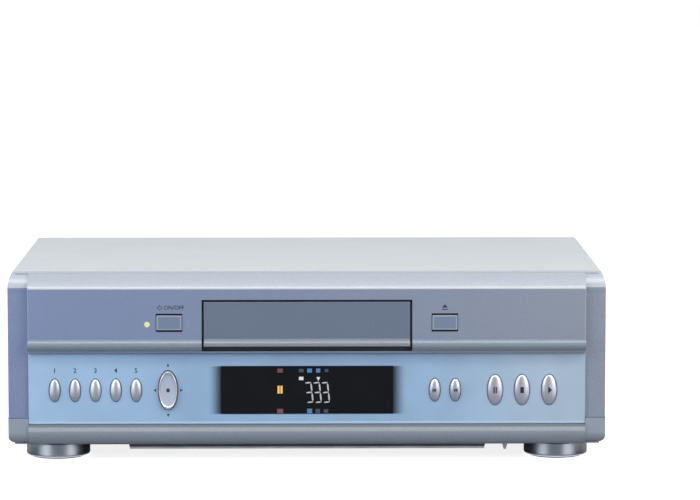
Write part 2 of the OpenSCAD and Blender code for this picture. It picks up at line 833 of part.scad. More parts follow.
// Front panel: one moulding with band, bead, lower rail and end cheeks
module front_panel() {
    cover_flat = cover_w / 2 - cover_bend - 1;
    color([0.56, 0.61, 0.68]) difference() {
        union() {
            across([-panel_w / 2, panel_w / 2]) centre_outline();
            intersection() {
                union() {
                    both_sides() {
                        across([panel_w / 2, body_w / 2]) cheek_outline();
                        across([body_w / 2 - end_t, body_w / 2]) end_outline();
                        across([panel_w / 2 - wall_t, panel_w / 2]) {
                            area([0, cheek_set + wall_t], [opening_z, shoulder_z]);
                            area([lip_set, cheek_set + wall_t], [foot_h + lip_r, control_z]);
                        }
                    }
                }
                deep([-bead_r, panel_d]) silhouette();
            }
            across([-cover_flat, cover_flat]) rebate_outline();
            for (x = board_boss_x) translate([x, 0, key_z]) rod_y(boss_r, [backing_back - eps, board_y]);
            both_sides() translate([tab_x, 0, tab_screw_z]) rod_y(tab_boss_r, [tab_boss_y, pan_y]);
            for (side = [-1, 1]) translate([nav_x + side * gimbal_boss_x, 0, 0])
                block([-1.5, 1.5], [backing_back - eps, gimbal_y + 2], [key_z - 2, key_z + 2]);
            panel_hook();
        }
        deep([-bead_r - eps, backing_back + eps])
            area([-opening_w / 2, opening_w / 2], [opening_z, opening_top_z]);
        deep([backing_y - eps, backing_back + eps]) {
            oval_openings(key_gap);
            translate([0, key_z]) square([window_w - 8, window_h - 4], center = true);
        }
        for (side = [-1, 1]) translate([side * band_key_x, 0, band_key_z]) deep([-eps, wall_t + eps])
            rounded(band_key_w + 2 * key_gap, band_key_h + 2 * band_key_slot, 0.4);
        across([-panel_w / 2 - eps, panel_w / 2 + eps]) edge_outline();
        both_sides() translate([panel_w / 2, 0, band_z]) linear_extrude(band_h + 2)
            rotate(45) square(end_bevel * sqrt(2), center = true);
        translate([lens_x, 0, lens_z]) rod_y(lens_d / 2 + touch, [-eps, wall_t + eps]);
        for (x = board_boss_x) translate([x, 0, key_z]) rod_y(pilot_r, [backing_back + 1, board_y + eps]);
        both_sides() translate([tab_x, 0, tab_screw_z]) rod_y(screw_r, [lip_set + 6, pan_y + eps]);
        translate([nav_x, 0, key_z]) translate([0, gimbal_y, 0])
            rod_x(gimbal_pin_r + run_fit, [-gimbal_boss_x - 2, gimbal_boss_x + 2]);
    }
}

// Small tapered hook under the lower rail
module panel_hook() {
    hook_x = 143;
    hook_w = [2.1, 0.8];
    hook_z = [foot_h + 1.2, foot_h - 3.6];
    translate([hook_x, 0, 0]) deep([lip_set + lip_r - 3, lip_set + lip_r]) polygon([
        [-hook_w[0], hook_z[0]], [hook_w[0], hook_z[0]], [hook_w[1], hook_z[1]], [-hook_w[1], hook_z[1]]
    ]);
}

// Acrylic control panel with bevelled long edges
module control_panel() {
    low = control_z + touch;
    high = ledge_z - touch;
    color([0.62, 0.74, 0.86]) difference() {
        across([-panel_w / 2 + touch, panel_w / 2 - touch]) polygon([
            [backing_y, low], [backing_y, high], [acrylic_set + acrylic_bevel, high],
            [acrylic_set, high - acrylic_bevel], [acrylic_set, low + acrylic_bevel],
            [acrylic_set + acrylic_bevel, low]
        ]);
        deep([acrylic_set - eps, backing_y + eps]) {
            oval_openings(key_gap);
            translate([0, key_z]) square([window_w, window_h], center = true);
        }
    }
}

// Dark window set flush into the acrylic
module display_window() {
    color([0.10, 0.11, 0.13]) translate([0, 0, key_z]) deep([acrylic_set, backing_y])
        square([window_w - 2 * touch, window_h - 2 * touch], center = true);
}

// Fluorescent display tube on the front board
module display_tube() {
    color([0.25, 0.28, 0.30]) translate([0, 0, key_z]) {
        deep([backing_back + 1.5, board_y - 1]) rounded(window_w - 12, window_h - 8, 1);
        deep([board_y - 1, board_y]) for (i = [-12:12]) translate([i * 4, -(window_h - 8) / 2 + 2])
            square([1, 2], center = true);
    }
}

// Light guide of the standby lamp, turned in one piece
module standby_lens() {
    r = lens_d / 2;
    rim_y = wall_t + touch;
    color([0.75, 0.80, 0.35]) translate([lens_x, 0, lens_z]) rotate([-90, 0, 0]) rotate_extrude() polygon([
        [0, -lens_proud], [r - lens_proud, -lens_proud], [r, 0], [r, rim_y], [r + lens_rim, rim_y],
        [r + lens_rim, rim_y + lens_rim], [r, rim_y + lens_rim], [r, board_y - lamp_l], [0, board_y - lamp_l]
    ]);
}

// Front circuit board with two ears beside the tray
module front_board() {
    ear_in = opening_w / 2 + 8;
    ear_out = band_key_x + 23;
    color([0.16, 0.38, 0.22]) difference() {
        union() {
            deep([board_y, board_y + board_t]) {
                area([-panel_w / 2 + 4, panel_w / 2 - 4], [control_z + 1, ledge_z - 2]);
                for (side = [-1, 1]) area(
                    [min(side * ear_in, side * ear_out), max(side * ear_in, side * ear_out)],
                    [ledge_z - 3, band_key_z + 12]
                );
            }
            translate([lens_x, 0, lens_z]) rod_y(lens_d / 2, [board_y - lamp_l + touch, board_y + eps]);
            block(
                plug_x, [board_y + board_t, board_y + board_t + front_plug_l],
                [front_plug_z, front_plug_z + plug_t]
            );
        }
        for (x = board_boss_x) translate([x, 0, key_z])
            rod_y(pilot_r + pilot_gap, [board_y - eps, board_y + board_t + eps]);
    }
}

// Push switches behind the keys
module key_switches() {
    places = concat(
        [for (x = concat(function_x, skip_x, transport_x)) [x, key_z]],
        [for (side = [-1, 1]) [side * band_key_x, band_key_z]]
    );
    color([0.20, 0.20, 0.22]) {
        for (p = places) translate([p[0], 0, p[1]]) {
            block([-3, 3], [board_y - switch_body, board_y], [-3, 3]);
            rod_y(1.7, [tip_y, board_y - switch_body]);
        }
        translate([nav_x, 0, key_z]) block([-6, 6], [nav_end_y + nav_press + touch, board_y], [-6, 6]);
    }
}

// Foot with a rounded lower edge, a pad groove and a screw recess
module foot(d) {
    r = d / 2;
    low = pad_t - 1;
    edge = 2;
    rotate_extrude() difference() {
        union() {
            area([0, r], [low + edge, foot_h]);
            area([0, r - edge], [low, foot_h]);
            translate([r - edge, low + edge]) circle(edge);
        }
        area([0, head_r + 1], [0, foot_h - foot_seat]);
        area([0, screw_r + touch], [0, foot_h + eps]);
        area([r - pad_in, r - pad_out], [0, pad_t]);
        area([r, r + eps], [0, foot_h]);
    }
}
module front_feet() {
    color([0.66, 0.71, 0.77]) both_sides() translate([foot_x, front_foot_y, 0]) foot(front_foot_d);
}
module rear_feet() {
    color([0.16, 0.16, 0.17]) both_sides() translate([foot_x, body_d - rear_foot_y, 0]) foot(rear_foot_d);
}

// Rubber rings in the feet
module foot_pads() {
    places = [[front_foot_y, front_foot_d / 2], [body_d - rear_foot_y, rear_foot_d / 2]];
    color([0.10, 0.10, 0.10]) both_sides() for (p = places) translate([foot_x, p[0], 0]) rotate_extrude()
        area([p[1] - pad_in + touch, p[1] - pad_out - touch], [0, pad_t]);
}

// Screws of the feet, the cover, the rear panel, the front panel and the loader
module case_screws() {
    color([0.45, 0.45, 0.47]) {
        for (p = feet_places()) translate([p[0], p[1], foot_h - foot_seat]) screw(8);
        both_sides() {
            for (y = side_screw_y) translate([cover_w / 2, y, side_screw_z]) rotate([0, -90, 0]) screw(6);
            translate([tab_x, pan_y + sheet_t, tab_screw_z]) rotate([90, 0, 0]) screw(6);
            translate([rear_tab_x, body_d, rear_tab_z]) rotate([90, 0, 0]) screw(5);
            for (y = ear_y) translate([ear_x, y, frame_z + ear_t + grommet_lip]) mirror([0, 0, 1]) screw(12);
        }
        for (x = lip_screw_x) translate([x, body_d + touch + cover_t, top_z - cover_lip / 2])
            rotate([90, 0, 0]) screw(6);
    }
}

// One side board with its post holes
module side_board(side) {
    difference() {
        block(
            side > 0 ? [side_board_in, side_board_out] : [-side_board_out, -side_board_in],
            side_board_y, [board_z, board_z + board_t]
        );
        for (p = board_posts()) translate([p[0], p[1], board_z - eps])
            cylinder(r = pilot_r + pilot_gap, h = board_t + 2 * eps);
    }
}

// Decoder board on the right
module main_board() {
    color([0.14, 0.36, 0.20]) side_board(1);
}

// Chips, can capacitors and sockets on the decoder board
module board_chips() {
    z = board_z + board_t;
    color([0.12, 0.12, 0.13]) {
        for (c = chips) block([c[0], c[1]], [c[2], c[3]], [z, z + c[4]]);
        for (i = [0:5]) translate([175, 95 + i * 11, z]) cylinder(r = 3.2, h = 9);
        block(plug_x, [plug_y, plug_y + plug_t], [z, z + plug_h]);
    }
}

// Power supply board on the left
module power_board() {
    color([0.62, 0.52, 0.30]) side_board(-1);
}

// Transformer, capacitors and heat sink of the power supply
module power_parts() {
    z = board_z + board_t;
    color([0.30, 0.28, 0.24]) {
        for (c = cores) block([c[0], c[1]], [c[2], c[3]], [z, z + c[4]]);
        translate([-180, 165, z]) cylinder(r = 11, h = 36);
        for (i = [0:3]) translate([-112, 95 + i * 13, z]) cylinder(r = 5, h = 20);
        for (i = [0:6]) block([-185 + i * 5.5, -183.5 + i * 5.5], [203, 213], [z, z + 34]);
    }
}

// Body of one phono jack: collar in the panel hole and insulating core
module rca_body(x, z) {
    translate([x, 0, z]) {
        rod_y(collar_r, [rear_in - eps, body_d + collar_out]);
        rod_y(rca_r - barrel_t - touch, [rear_in - eps, body_d + jack_reach - 1]);
    }
}

// Space that a barrel and the plug's pin take in a jack body
module rca_cut(x, z) {
    translate([x, 0, z]) {
        difference() {
            rod_y(barrel_root_r + run_fit, [rear_in - barrel_root, body_d + jack_reach + eps]);
            rod_y(rca_r - barrel_t - run_fit, [rear_in - barrel_root - eps, body_d + jack_reach + 2 * eps]);
        }
        rod_y(rca_bore_r, [rear_in - 2, body_d + jack_reach + eps]);
    }
}

// Column of phono jacks on one housing
module rca_column(x, count) {
    difference() {
        union() {
            block(
                [x - jack_half, x + jack_half], [rear_in - jack_depth, rear_in],
                [board_z + board_t, rca_z + (count - 1) * rca_pitch + jack_half]
            );
            for (i = [0:count - 1]) rca_body(x, rca_z + i * rca_pitch);
        }
        for (i = [0:count - 1]) rca_cut(x, rca_z + i * rca_pitch);
    }
}
module component_jack_block() {
    color([0.20, 0.45, 0.30]) rca_column(rca_x[0], 3);
}
module av_jack_block() {
    color([0.80, 0.70, 0.20]) rca_column(rca_x[1], 3);
}

// Digital phono jack with the round four-pole video socket above it
module coax_svideo_block() {
    z = rca_z + svideo_rise;
    color([0.15, 0.15, 0.16]) difference() {
        union() {
            rca_column(rca_x[2], 1);
            block(
                [rca_x[2] - jack_half, rca_x[2] + jack_half], [rear_in - jack_depth, rear_in],
                [rca_z + jack_half - eps, z + jack_half]
            );
            translate([rca_x[2], 0, z]) rod_y(svideo_r, [rear_in - eps, body_d + collar_out]);
        }
        translate([rca_x[2], 0, z]) {
            difference() {
                rod_y(4.9, [body_d - 4, body_d + collar_out + eps]);
                rod_y(3.9, [body_d - 4 - eps, body_d + collar_out + 2 * eps]);
            }
            for (side = [-1, 1], h = [-0.6, 1.6]) translate([side * (1.6 + h / 3), 0, h])
                rod_y(0.5, [body_d - 4, body_d + collar_out + eps]);
            block([-1.2, 1.2], [body_d - 4, body_d + collar_out + eps], [-2.6, -1.6]);
        }
    }
}

// Metal barrels of the phono jacks
module jack_barrels() {
    color([0.80, 0.80, 0.82]) for (p = rca_places()) translate([p[0], 0, p[1]]) difference() {
        union() {
            rod_y(barrel_root_r, [rear_in - barrel_root, body_d + collar_out + eps]);
            rod_y(rca_r, [body_d + collar_out, body_d + jack_reach]);
        }
        rod_y(rca_r - barrel_t, [rear_in - barrel_root - eps, body_d + jack_reach + eps]);
    }
}

// Two-pole mains inlet with its pins
module ac_inlet() {
    front = body_d + inlet_out;
    color([0.08, 0.08, 0.09]) translate([inlet_x, 0, inlet_z]) {
        difference() {
            union() {
                deep([front - inlet_depth, front]) square([inlet_w, inlet_h], center = true);
                deep([body_d, front]) rounded(inlet_w + 7, inlet_h + 4, 2);
            }
            deep([front - inlet_well, front + eps]) slot_between([-inlet_pin_x, 0], [inlet_pin_x, 0], 4.2);
        }
        for (side = [-1, 1]) translate([side * inlet_pin_x, 0, 0])
            rod_y(inlet_pin_r, [front - inlet_well, front - 3]);
    }
}

// Loader frame: guide channels, gear plate, slide ledge, deck bearings and ears
module loader_frame() {
    back = frame_y + frame_len;
    plate_back = frame_y + plate_len;
    color([0.22, 0.23, 0.25]) difference() {
        union() {
            both_sides() {
                block([frame_in, frame_out], [frame_y, back], [frame_z, frame_top_z]);
                block([guide_in, frame_out], [frame_y, back], [rim_z + 0.4, frame_top_z]);
                block([guide_in, frame_out], [frame_y, back], [tray_z - 2.6, tray_z - 0.3]);
                for (y = ear_y) translate([0, y, frame_z])
                    block([frame_in, ear_x + ear_reach], [-ear_w / 2, ear_w / 2], [0, ear_t]);
                block([bearing_x, bearing_x + bearing_t], [pivot_y - 6, back], [frame_z, pivot_z + 5]);
                block(
                    [cam_len / 2 - cam_stop, cam_len / 2], [plate_back - eps, cam_y + cam_t + 2],
                    [frame_z, cam_z + 8]
                );
            }
            block([-frame_out, frame_out], [frame_y, plate_back], [plate_z, plate_z + plate_t]);
            block([-frame_out, frame_out], [plate_back - 2.5, plate_back], [frame_z, plate_z + plate_t]);
            block(
                [-cam_len / 2, cam_len / 2], [plate_back - eps, cam_y + cam_t + slide_fit],
                [frame_z, cam_z - rest_fit]
            );
            block([-frame_out, frame_out], [back - 10, back], [frame_z, frame_z + 12]);
            for (x = [gear_x, pulley_x]) translate([x, gear_y, plate_z + plate_t - eps]) {
                cylinder(r = post_r + 1.5, h = collar_h + eps);
                cylinder(r = post_r, h = gear_top_z - plate_z - plate_t + eps);
            }
        }
        both_sides() block(
            [cam_len / 2 - cam_stop - 1, cam_len / 2 + eps], [cam_y - slide_fit, cam_y + cam_t + slide_fit],
            [cam_z - rest_fit, cam_z + 9]
        );
        translate([motor_x, gear_y, plate_z - eps]) cylinder(r = 3, h = plate_t + 2 * eps);
        translate([0, pivot_y, pivot_z]) rod_x(pivot_r + run_fit, [-frame_in, frame_in]);
        both_sides() for (y = ear_y) translate([ear_x, y, frame_z - eps])
            cylinder(r = ear_hole_r, h = ear_t + 2 * eps);
    }
}

// Folded stands that carry the loader
module loader_stands() {
    color([0.66, 0.67, 0.68]) both_sides() difference() {
        deep([frame_y + 3, frame_y + frame_len - 3]) {
            area([frame_out + 0.6, frame_out + 0.6 + stand_t], [well_z, stand_top_z]);
            area([frame_out + 0.6, ear_x + ear_reach], [well_z, well_z + stand_t]);
            area([frame_out + 0.6, ear_x + ear_reach], [stand_top_z - stand_t, stand_top_z]);
        }
        for (y = ear_y) translate([ear_x, y, stand_top_z - stand_t - eps])
            cylinder(r = screw_r + touch, h = stand_t + 2 * eps);
        across([frame_out, frame_out + 0.6 + stand_t + eps]) for (i = [0:2])
            translate([frame_y + 55 + i * 36, (well_z + stand_top_z) / 2]) rounded(24, 24, 4);
    }
}

// Rubber grommets between the loader's ears and its stands
module loader_dampers() {
    low = frame_z - stand_top_z;
    color([0.12, 0.12, 0.12]) both_sides() for (y = ear_y) translate([ear_x, y, stand_top_z])
        rotate_extrude() {
            area([screw_r + touch, grommet_r], [0, low]);
            area([screw_r + touch, ear_hole_r - touch], [0, low + ear_t + grommet_lip]);
            area([screw_r + touch, grommet_r], [low + ear_t, low + ear_t + grommet_lip]);
        }
}

// Bridge over the tray that carries the disc clamp
module clamp_bridge() {
    color([0.70, 0.71, 0.72]) difference() {
        across([-frame_out, frame_out]) {
            area([disc_y - clamp_w / 2, disc_y + clamp_w / 2], [clamp_z, clamp_z + clamp_t]);
            for (y = [disc_y - clamp_w / 2, disc_y + clamp_w / 2 - clamp_t])
                area([y, y + clamp_t], [clamp_z, clamp_z + 6]);
        }
        translate([0, disc_y, clamp_z - eps]) cylinder(r = clamp_hole_r, h = clamp_t + 2 * eps);
    }
}

// Magnetic clamp that hangs in the bridge
module clamp_puck() {
    high = clamp_z + clamp_t + 0.3;
    color([0.24, 0.25, 0.27]) translate([0, disc_y, 0]) rotate_extrude() difference() {
        union() {
            area([0, puck_r - 1.5], [high, high + 2]);
            area([0, clamp_hole_r - 0.4], [clamp_z - 1, high + eps]);
            area([0, puck_r], [rim_z + 0.5, clamp_z - 0.3]);
        }
        area([0, hub_r + 0.8], [rim_z, rim_z + 2]);
    }
}

// Small motor that drives the tray, under the gear plate
module loading_motor() {
    color([0.60, 0.61, 0.63]) translate([motor_x, gear_y, plate_z - motor_h]) {
        cylinder(r = motor_r, h = motor_h);
        cylinder(r = 2.6, h = motor_h + 1.5);
        cylinder(r = motor_shaft_r, h = pulley_z + pulley_h - plate_z + motor_h);
    }
}

// Pulley profile with a groove for the belt
module pulley_profile(groove_r, bore_r) {
    rim = (pulley_h - belt_t - 0.6) / 2;
    difference() {
        area([bore_r, groove_r + belt_t + 0.3], [0, pulley_h]);
        area([groove_r, groove_r + belt_t + 1], [rim, pulley_h - rim]);
    }
}
module motor_pulley() {
    color([0.85, 0.82, 0.70]) translate([motor_x, gear_y, pulley_z])
        rotate_extrude() pulley_profile(motor_pulley_r, motor_shaft_r + run_fit);
}

// Large pulley with the pinion on top
module pulley_gear() {
    color([0.88, 0.88, 0.86]) translate([pulley_x, gear_y, 0]) difference() {
        union() {
            translate([0, 0, pulley_z]) rotate_extrude() pulley_profile(pulley_r, post_r + run_fit);
            translate([0, 0, pulley_z + pulley_h - eps])
                linear_extrude(gear_top_z - pulley_z - pulley_h + eps)
                gear_outline(pinion_teeth, 180 / pinion_teeth);
        }
        translate([0, 0, pulley_z - eps]) cylinder(r = post_r + run_fit, h = gear_top_z - pulley_z + 2 * eps);
    }
}

// Gear between the pinion and the tray's rack
module tray_gear() {
    color([0.90, 0.90, 0.88]) translate([gear_x, gear_y, 0]) difference() {
        union() {
            translate([0, 0, gear_z]) linear_extrude(gear_top_z - gear_z) gear_outline(tray_teeth);
            translate([0, 0, pulley_z]) cylinder(r = post_r + 2, h = gear_z - pulley_z + eps);
        }
        translate([0, 0, pulley_z - eps]) cylinder(r = post_r + run_fit, h = gear_top_z - pulley_z + 2 * eps);
        translate([0, 0, gear_z - eps]) for (i = [0:4]) rotate(i * 72 + 36) translate([gear_r * 0.58, 0, 0])
            cylinder(r = gear_r * 0.18, h = gear_top_z - gear_z + 2 * eps);
    }
}

// Drive belt round both pulleys
module drive_belt() {
    rim = (pulley_h - belt_t) / 2;
    near = pulley_r + 0.15;
    far = motor_pulley_r + 0.15;
    color([0.10, 0.10, 0.10]) translate([pulley_x, gear_y, pulley_z + rim]) linear_extrude(belt_t)
        difference() {
            belt_loop(near + belt_t, far + belt_t, motor_x - pulley_x);
            belt_loop(near, far, motor_x - pulley_x);
        }
}

// Flat cable from the front board down to the decoder board
module ribbon_cable() {
    t = 0.6;
    bow = 6;
    rise = 8;
    start = [board_y + board_t + front_plug_l, front_plug_z + plug_t / 2];
    end = [plug_y + plug_t / 2, board_z + board_t + plug_h];
    color([0.85, 0.84, 0.80]) across([plug_x[0] + 1, plug_x[1] - 1]) {
        area([start[0], start[0] + bow], [start[1], start[1] + t]);
        area(
            [start[0] + bow - t, start[0] + bow],
            [min(end[1] + rise, start[1]), max(end[1] + rise, start[1]) + t]
        );
        area([start[0] + bow - t, end[0]], [end[1] + rise, end[1] + rise + t]);
        area([end[0] - t, end[0]], [end[1], end[1] + rise + t]);
    }
}

// Disc tray with its recesses, pickup slot, side walls and rack
module disc_tray() {
    back = tray_y + tray_len;
    half = tray_w / 2;
    rack_back = rack_x - tooth_ded * gear_m - 4;
    pitch = gear_m * PI;
    rack_y = [gear_y - rack_lead, gear_y + tray_travel + rack_over];
    rack_first = ceil((rack_y[0] - gear_y) / pitch);
    rack_last = floor((rack_y[1] - gear_y) / pitch) - 1;
    color([0.20, 0.21, 0.23]) union() {
        difference() {
            block([-half, half], [tray_y, back], [tray_z, rim_z]);
            block(
                [-half + tray_wall_t, half - tray_wall_t], [tray_y + 3, back + eps],
                [tray_z - eps, tray_under_z]
            );
            translate([0, disc_y, seat_z]) cylinder(r = disc_recess_d / 2, h = tray_h);
            translate([0, disc_y, seat_z - small_recess]) cylinder(r = small_recess_d / 2, h = tray_h);
            for (side = [-1, 1]) translate([side * disc_recess_d * 0.46, disc_y, seat_z])
                cylinder(r = 11, h = tray_h);
            block(
                [-half + 6, half - 6], [disc_y + disc_recess_d / 2 + 4, back - bridge_l - 4],
                [seat_z, rim_z + eps]
            );
            translate([0, 0, tray_z - eps]) linear_extrude(tray_h + 2 * eps)
                slot_between([0, disc_y], [0, back - bridge_l - slot_r], slot_r);
            block(
                [-half + tray_wall_t, half - tray_wall_t], [back - bridge_l - slot_r / 2, back + eps],
                [tray_z, seat_z]
            );
            block([-half + 6, half - 6], [back - bridge_l, back + eps], [seat_z + 3.5, rim_z + eps]);
        }
        translate([0, 0, gear_z]) linear_extrude(tray_under_z - gear_z + eps) {
            area([rack_back, rack_x - tooth_ded * gear_m + 0.2], rack_y);
            for (i = [rack_first:rack_last]) translate([rack_x, gear_y + (i + 0.5) * pitch]) rack_tooth();
        }
        block([-half + 4, half - 4], [tray_y, tray_y + 3], [tray_z, fascia_top_z - 5]);
    }
}

// Front of the tray, flush with the band and carrying the bead on
module tray_fascia() {
    color([0.45, 0.50, 0.56]) across([-fascia_w / 2, fascia_w / 2]) intersection() {
        union() {
            area([0, fascia_t], [fascia_z, fascia_top_z]);
            translate([0, bead_z]) circle(bead_r);
        }
        area([-bead_r, fascia_t], [fascia_z, fascia_top_z]);
    }
}

// Cam slide with the slanting slot that lifts the deck's front pin
module cam_slide() {
    high = pin_z + 5;
    color([0.86, 0.86, 0.84]) deep([cam_y, cam_y + cam_t]) difference() {
        area([-cam_len / 2 - cam_travel / 2, cam_len / 2 - cam_travel / 2], [cam_z, high]);
        slot_between([0, pin_low_z], [-cam_travel, pin_z], pin_r + cam_fit);
        area([-cam_len / 2 - cam_travel / 2 - eps, -40], [cam_z + 7, high + eps]);
        area([22, cam_len / 2], [cam_z + 7, high + eps]);
    }
}

// Traverse deck with side walls, rod clips, trunnions and the cam pin
module traverse_deck() {
    half = deck_w / 2;
    top = deck_z + deck_t;
    color([0.62, 0.63, 0.65]) lowered() difference() {
        union() {
            block([-half, half], [deck_front, pivot_y - 5], [deck_z, top]);
            both_sides() {
                block([half - 3, half], [deck_front + 8, pivot_y + 4], [deck_z, top + 4]);
                for (y = clip_y)
                    block([rod_gap / 2 - 4, rod_gap / 2 + 4], [y, y + clip_l], [top - eps, rod_z + 3]);
                translate([0, pivot_y, pivot_z]) rod_x(pivot_r, [half - 2, bearing_x + bearing_t]);
            }
            block([lead_x - 3.4, lead_x + 3.4], [clip_y[0], clip_y[0] + clip_l], [top - eps, rod_z + 3]);
            translate([0, 0, pin_z]) rod_y(pin_r, [cam_y - 0.2, deck_front + eps]);
        }
        block([-lead_x - 4, lead_x + 4], deck_slot_y, [deck_z - eps, top + eps]);
        both_sides() translate([rod_gap / 2, 0, rod_z])
            rod_y(rod_r + 0.02, [clip_y[0] - eps, clip_y[1] + clip_l + eps]);
        translate([lead_x, 0, rod_z]) rod_y(lead_r + run_fit, [clip_y[0] - eps, clip_y[0] + clip_l + eps]);
    }
}

// Guide rods of the pickup
module guide_rods() {
    color([0.80, 0.81, 0.83]) lowered() both_sides() translate([rod_gap / 2, 0, rod_z])
        rod_y(rod_r, [clip_y[0] - 1, clip_y[1] + clip_l + 1]);
}

// Motor that turns the disc
module spindle_motor() {
    top = deck_z + deck_t;
    color([0.55, 0.56, 0.58]) lowered() translate([0, disc_y, top]) {
        cylinder(r = spindle_r, h = spindle_h);
        cylinder(r = 1, h = disc_plane_z - top);
    }
}

// Turntable with its centring cone
module turntable() {
    low = deck_z + deck_t + spindle_h + 0.3;
    color([0.15, 0.15, 0.16]) lowered() translate([0, disc_y, 0]) difference() {
        rotate_extrude() polygon([
            [0, low], [8, low], [8, disc_plane_z - 3], [turntable_r, disc_plane_z - 3],
            [turntable_r, disc_plane_z], [hub_r, disc_plane_z], [hub_r - 2.2, disc_plane_z + cone_h],
            [0, disc_plane_z + cone_h]
        ]);
        translate([0, 0, low - eps]) cylinder(r = 1 + run_fit, h = disc_plane_z - low + eps);
    }
}

// Pickup: sled on the rods with the lens on top
module pickup() {
    color([0.30, 0.31, 0.34]) lowered() {
        difference() {
            union() {
                block([-sled_x, sled_x], [sled_y, sled_y + sled_l], [sled_z, sled_z + sled_t]);
                block([sled_x - eps, lead_x + 3], [sled_y + 8, sled_y + 18], [sled_z, rod_z + 2.8]);
                block([-14, 14], [sled_y + 1, sled_y + 20], [sled_z + sled_t - eps, disc_plane_z - 3.2]);
            }
            for (x = [-rod_gap / 2, rod_gap / 2]) translate([x, 0, rod_z])
                rod_y(rod_r + run_fit, [sled_y - eps, sled_y + sled_l + eps]);
            translate([lead_x, 0, rod_z]) rod_y(lead_r + run_fit, [sled_y - eps, sled_y + sled_l + eps]);
        }
        translate([0, lens_y, disc_plane_z - 3.2]) cylinder(r1 = 3.6, r2 = 3, h = 1.4);
    }
}

// Lead screw that moves the pickup
module lead_screw() {
    color([0.78, 0.76, 0.70]) lowered() translate([lead_x, 0, rod_z])
        rod_y(lead_r, [clip_y[0], clip_y[1] + clip_l + 0.8]);
}

// Motor of the lead screw
module sled_motor() {
    front = clip_y[1] + clip_l + 1;
    color([0.58, 0.59, 0.61]) lowered() translate([lead_x, 0, rod_z]) {
        rod_y(sled_motor_r, [front, front + sled_motor_l]);
        translate([0, 0, -sled_motor_r]) block([-3, 3], [front + 2, front + sled_motor_l - 2], [-touch, 1.5]);
    }
}

// Rectangular key in the band, with a rim behind the wall and a plunger
module band_key(side) {
    seat = wall_t + key_seat;
    translate([side * band_key_x, 0, band_key_z]) {
        deep([-band_key_proud, seat + eps]) rounded(band_key_w, band_key_h, 0.6);
        deep([seat, seat + flange_t])
            rounded(band_key_w + 2 * flange_rim, band_key_h + 2 * (band_key_slot + slot_rim), 0.8);
        rod_y(1.5, [seat + flange_t - eps, plunger_y]);
    }
}
module power_key() {
    color([0.52, 0.57, 0.66]) band_key(-1);
}
module open_key() {
    color([0.52, 0.56, 0.63]) band_key(1);
}

// Domed oval key, with a rim behind the panel and a plunger
module oval_key(x, w, h) {
    seat = backing_back + key_seat;
    crown_y = acrylic_set - 0.4;
    crown = key_proud - 0.4;
    translate([x, 0, key_z]) {
        deep([crown_y, seat + eps]) oval(w, h);
        translate([0, crown_y, 0]) scale([w / 2 * dome_in, 1, h / 2 * dome_in]) rotate([90, 0, 0])
            rotate_extrude($fn = dome_n)
            polygon(concat([[0, 0]], [for (a = [0:15:90]) [cos(a), crown * sin(a)]]));
        deep([seat, seat + flange_t]) oval(w + 2 * flange_rim, h + 2 * flange_rim);
        rod_y(1.5, [seat + flange_t - eps, plunger_y]);
    }
}
module function_key(i) {
    color([0.55, 0.60, 0.67]) oval_key(function_x[i], small_key_w, small_key_h);
}
module function_key_1() { function_key(0); }
module function_key_2() { function_key(1); }
module function_key_3() { function_key(2); }
module function_key_4() { function_key(3); }
module function_key_5() { function_key(4); }
module skip_back_key() {
    color([0.55, 0.60, 0.67]) oval_key(skip_x[0], small_key_w, small_key_h);
}
module skip_next_key() {
    color([0.55, 0.60, 0.67]) oval_key(skip_x[1], small_key_w, small_key_h);
}
module transport_key(i) {
    color([0.58, 0.63, 0.70]) oval_key(transport_x[i], large_key_w, large_key_h);
}
module pause_key() { transport_key(0); }
module stop_key() { transport_key(1); }
module play_key() { transport_key(2); }

// Direction pad: dished oval on a shaft, in a stem that swings in a ring
module nav_gimbal() {
    color([0.70, 0.70, 0.68]) translate([nav_x, gimbal_y, key_z]) difference() {
        union() {
            deep([-gimbal_t / 2, gimbal_t / 2]) rounded(ring_out, ring_out, 1);
            rod_x(gimbal_pin_r, [-gimbal_boss_x - 1, -ring_out / 2 + 1]);
            rod_x(gimbal_pin_r, [ring_out / 2 - 1, gimbal_boss_x + 1]);
        }
        deep([-gimbal_t / 2 - eps, gimbal_t / 2 + eps]) square([ring_in, ring_in], center = true);
        translate([0, 0, -ring_out / 2 - eps]) cylinder(r = gimbal_pin_r + run_fit, h = ring_out + 2 * eps);
    }
}
module nav_stem() {
    color([0.60, 0.60, 0.62]) translate([nav_x, gimbal_y, key_z]) difference() {
        union() {
            deep([-gimbal_t / 2, gimbal_t / 2]) square([stem_w, stem_w], center = true);
            for (z = [eps - ring_out / 2, stem_w / 2 - eps]) translate([0, 0, z])
                cylinder(r = gimbal_pin_r, h = (ring_out - stem_w) / 2);
        }
        rod_y(nav_shaft_r + run_fit, [-gimbal_t, gimbal_t]);
    }
}
module nav_pad() {
    seat = backing_back + nav_seat;
    dish_y = acrylic_set - 0.4;
    rim = key_proud - 0.4;
    color([0.66, 0.72, 0.80]) translate([nav_x, 0, key_z]) {
        deep([dish_y, seat + eps]) oval(nav_w, nav_h);
        translate([0, dish_y, 0]) scale([nav_w / 2 * dome_in, 1, nav_h / 2 * dome_in]) rotate([90, 0, 0])
            rotate_extrude($fn = dome_n)
            polygon([
                [0, 0], [1, 0], [1, rim * 0.4], [0.97, rim * 0.8], [0.92, rim], [0.86, rim * 0.85],
                [0.78, rim * 0.5], [0.5, rim * 0.25], [0, rim * 0.2]
            ]);
        deep([seat, seat + 1.2]) oval(nav_w + 2 * flange_rim, nav_h + 2 * flange_rim);
        rod_y(nav_shaft_r, [seat + 1, nav_end_y]);
    }
}

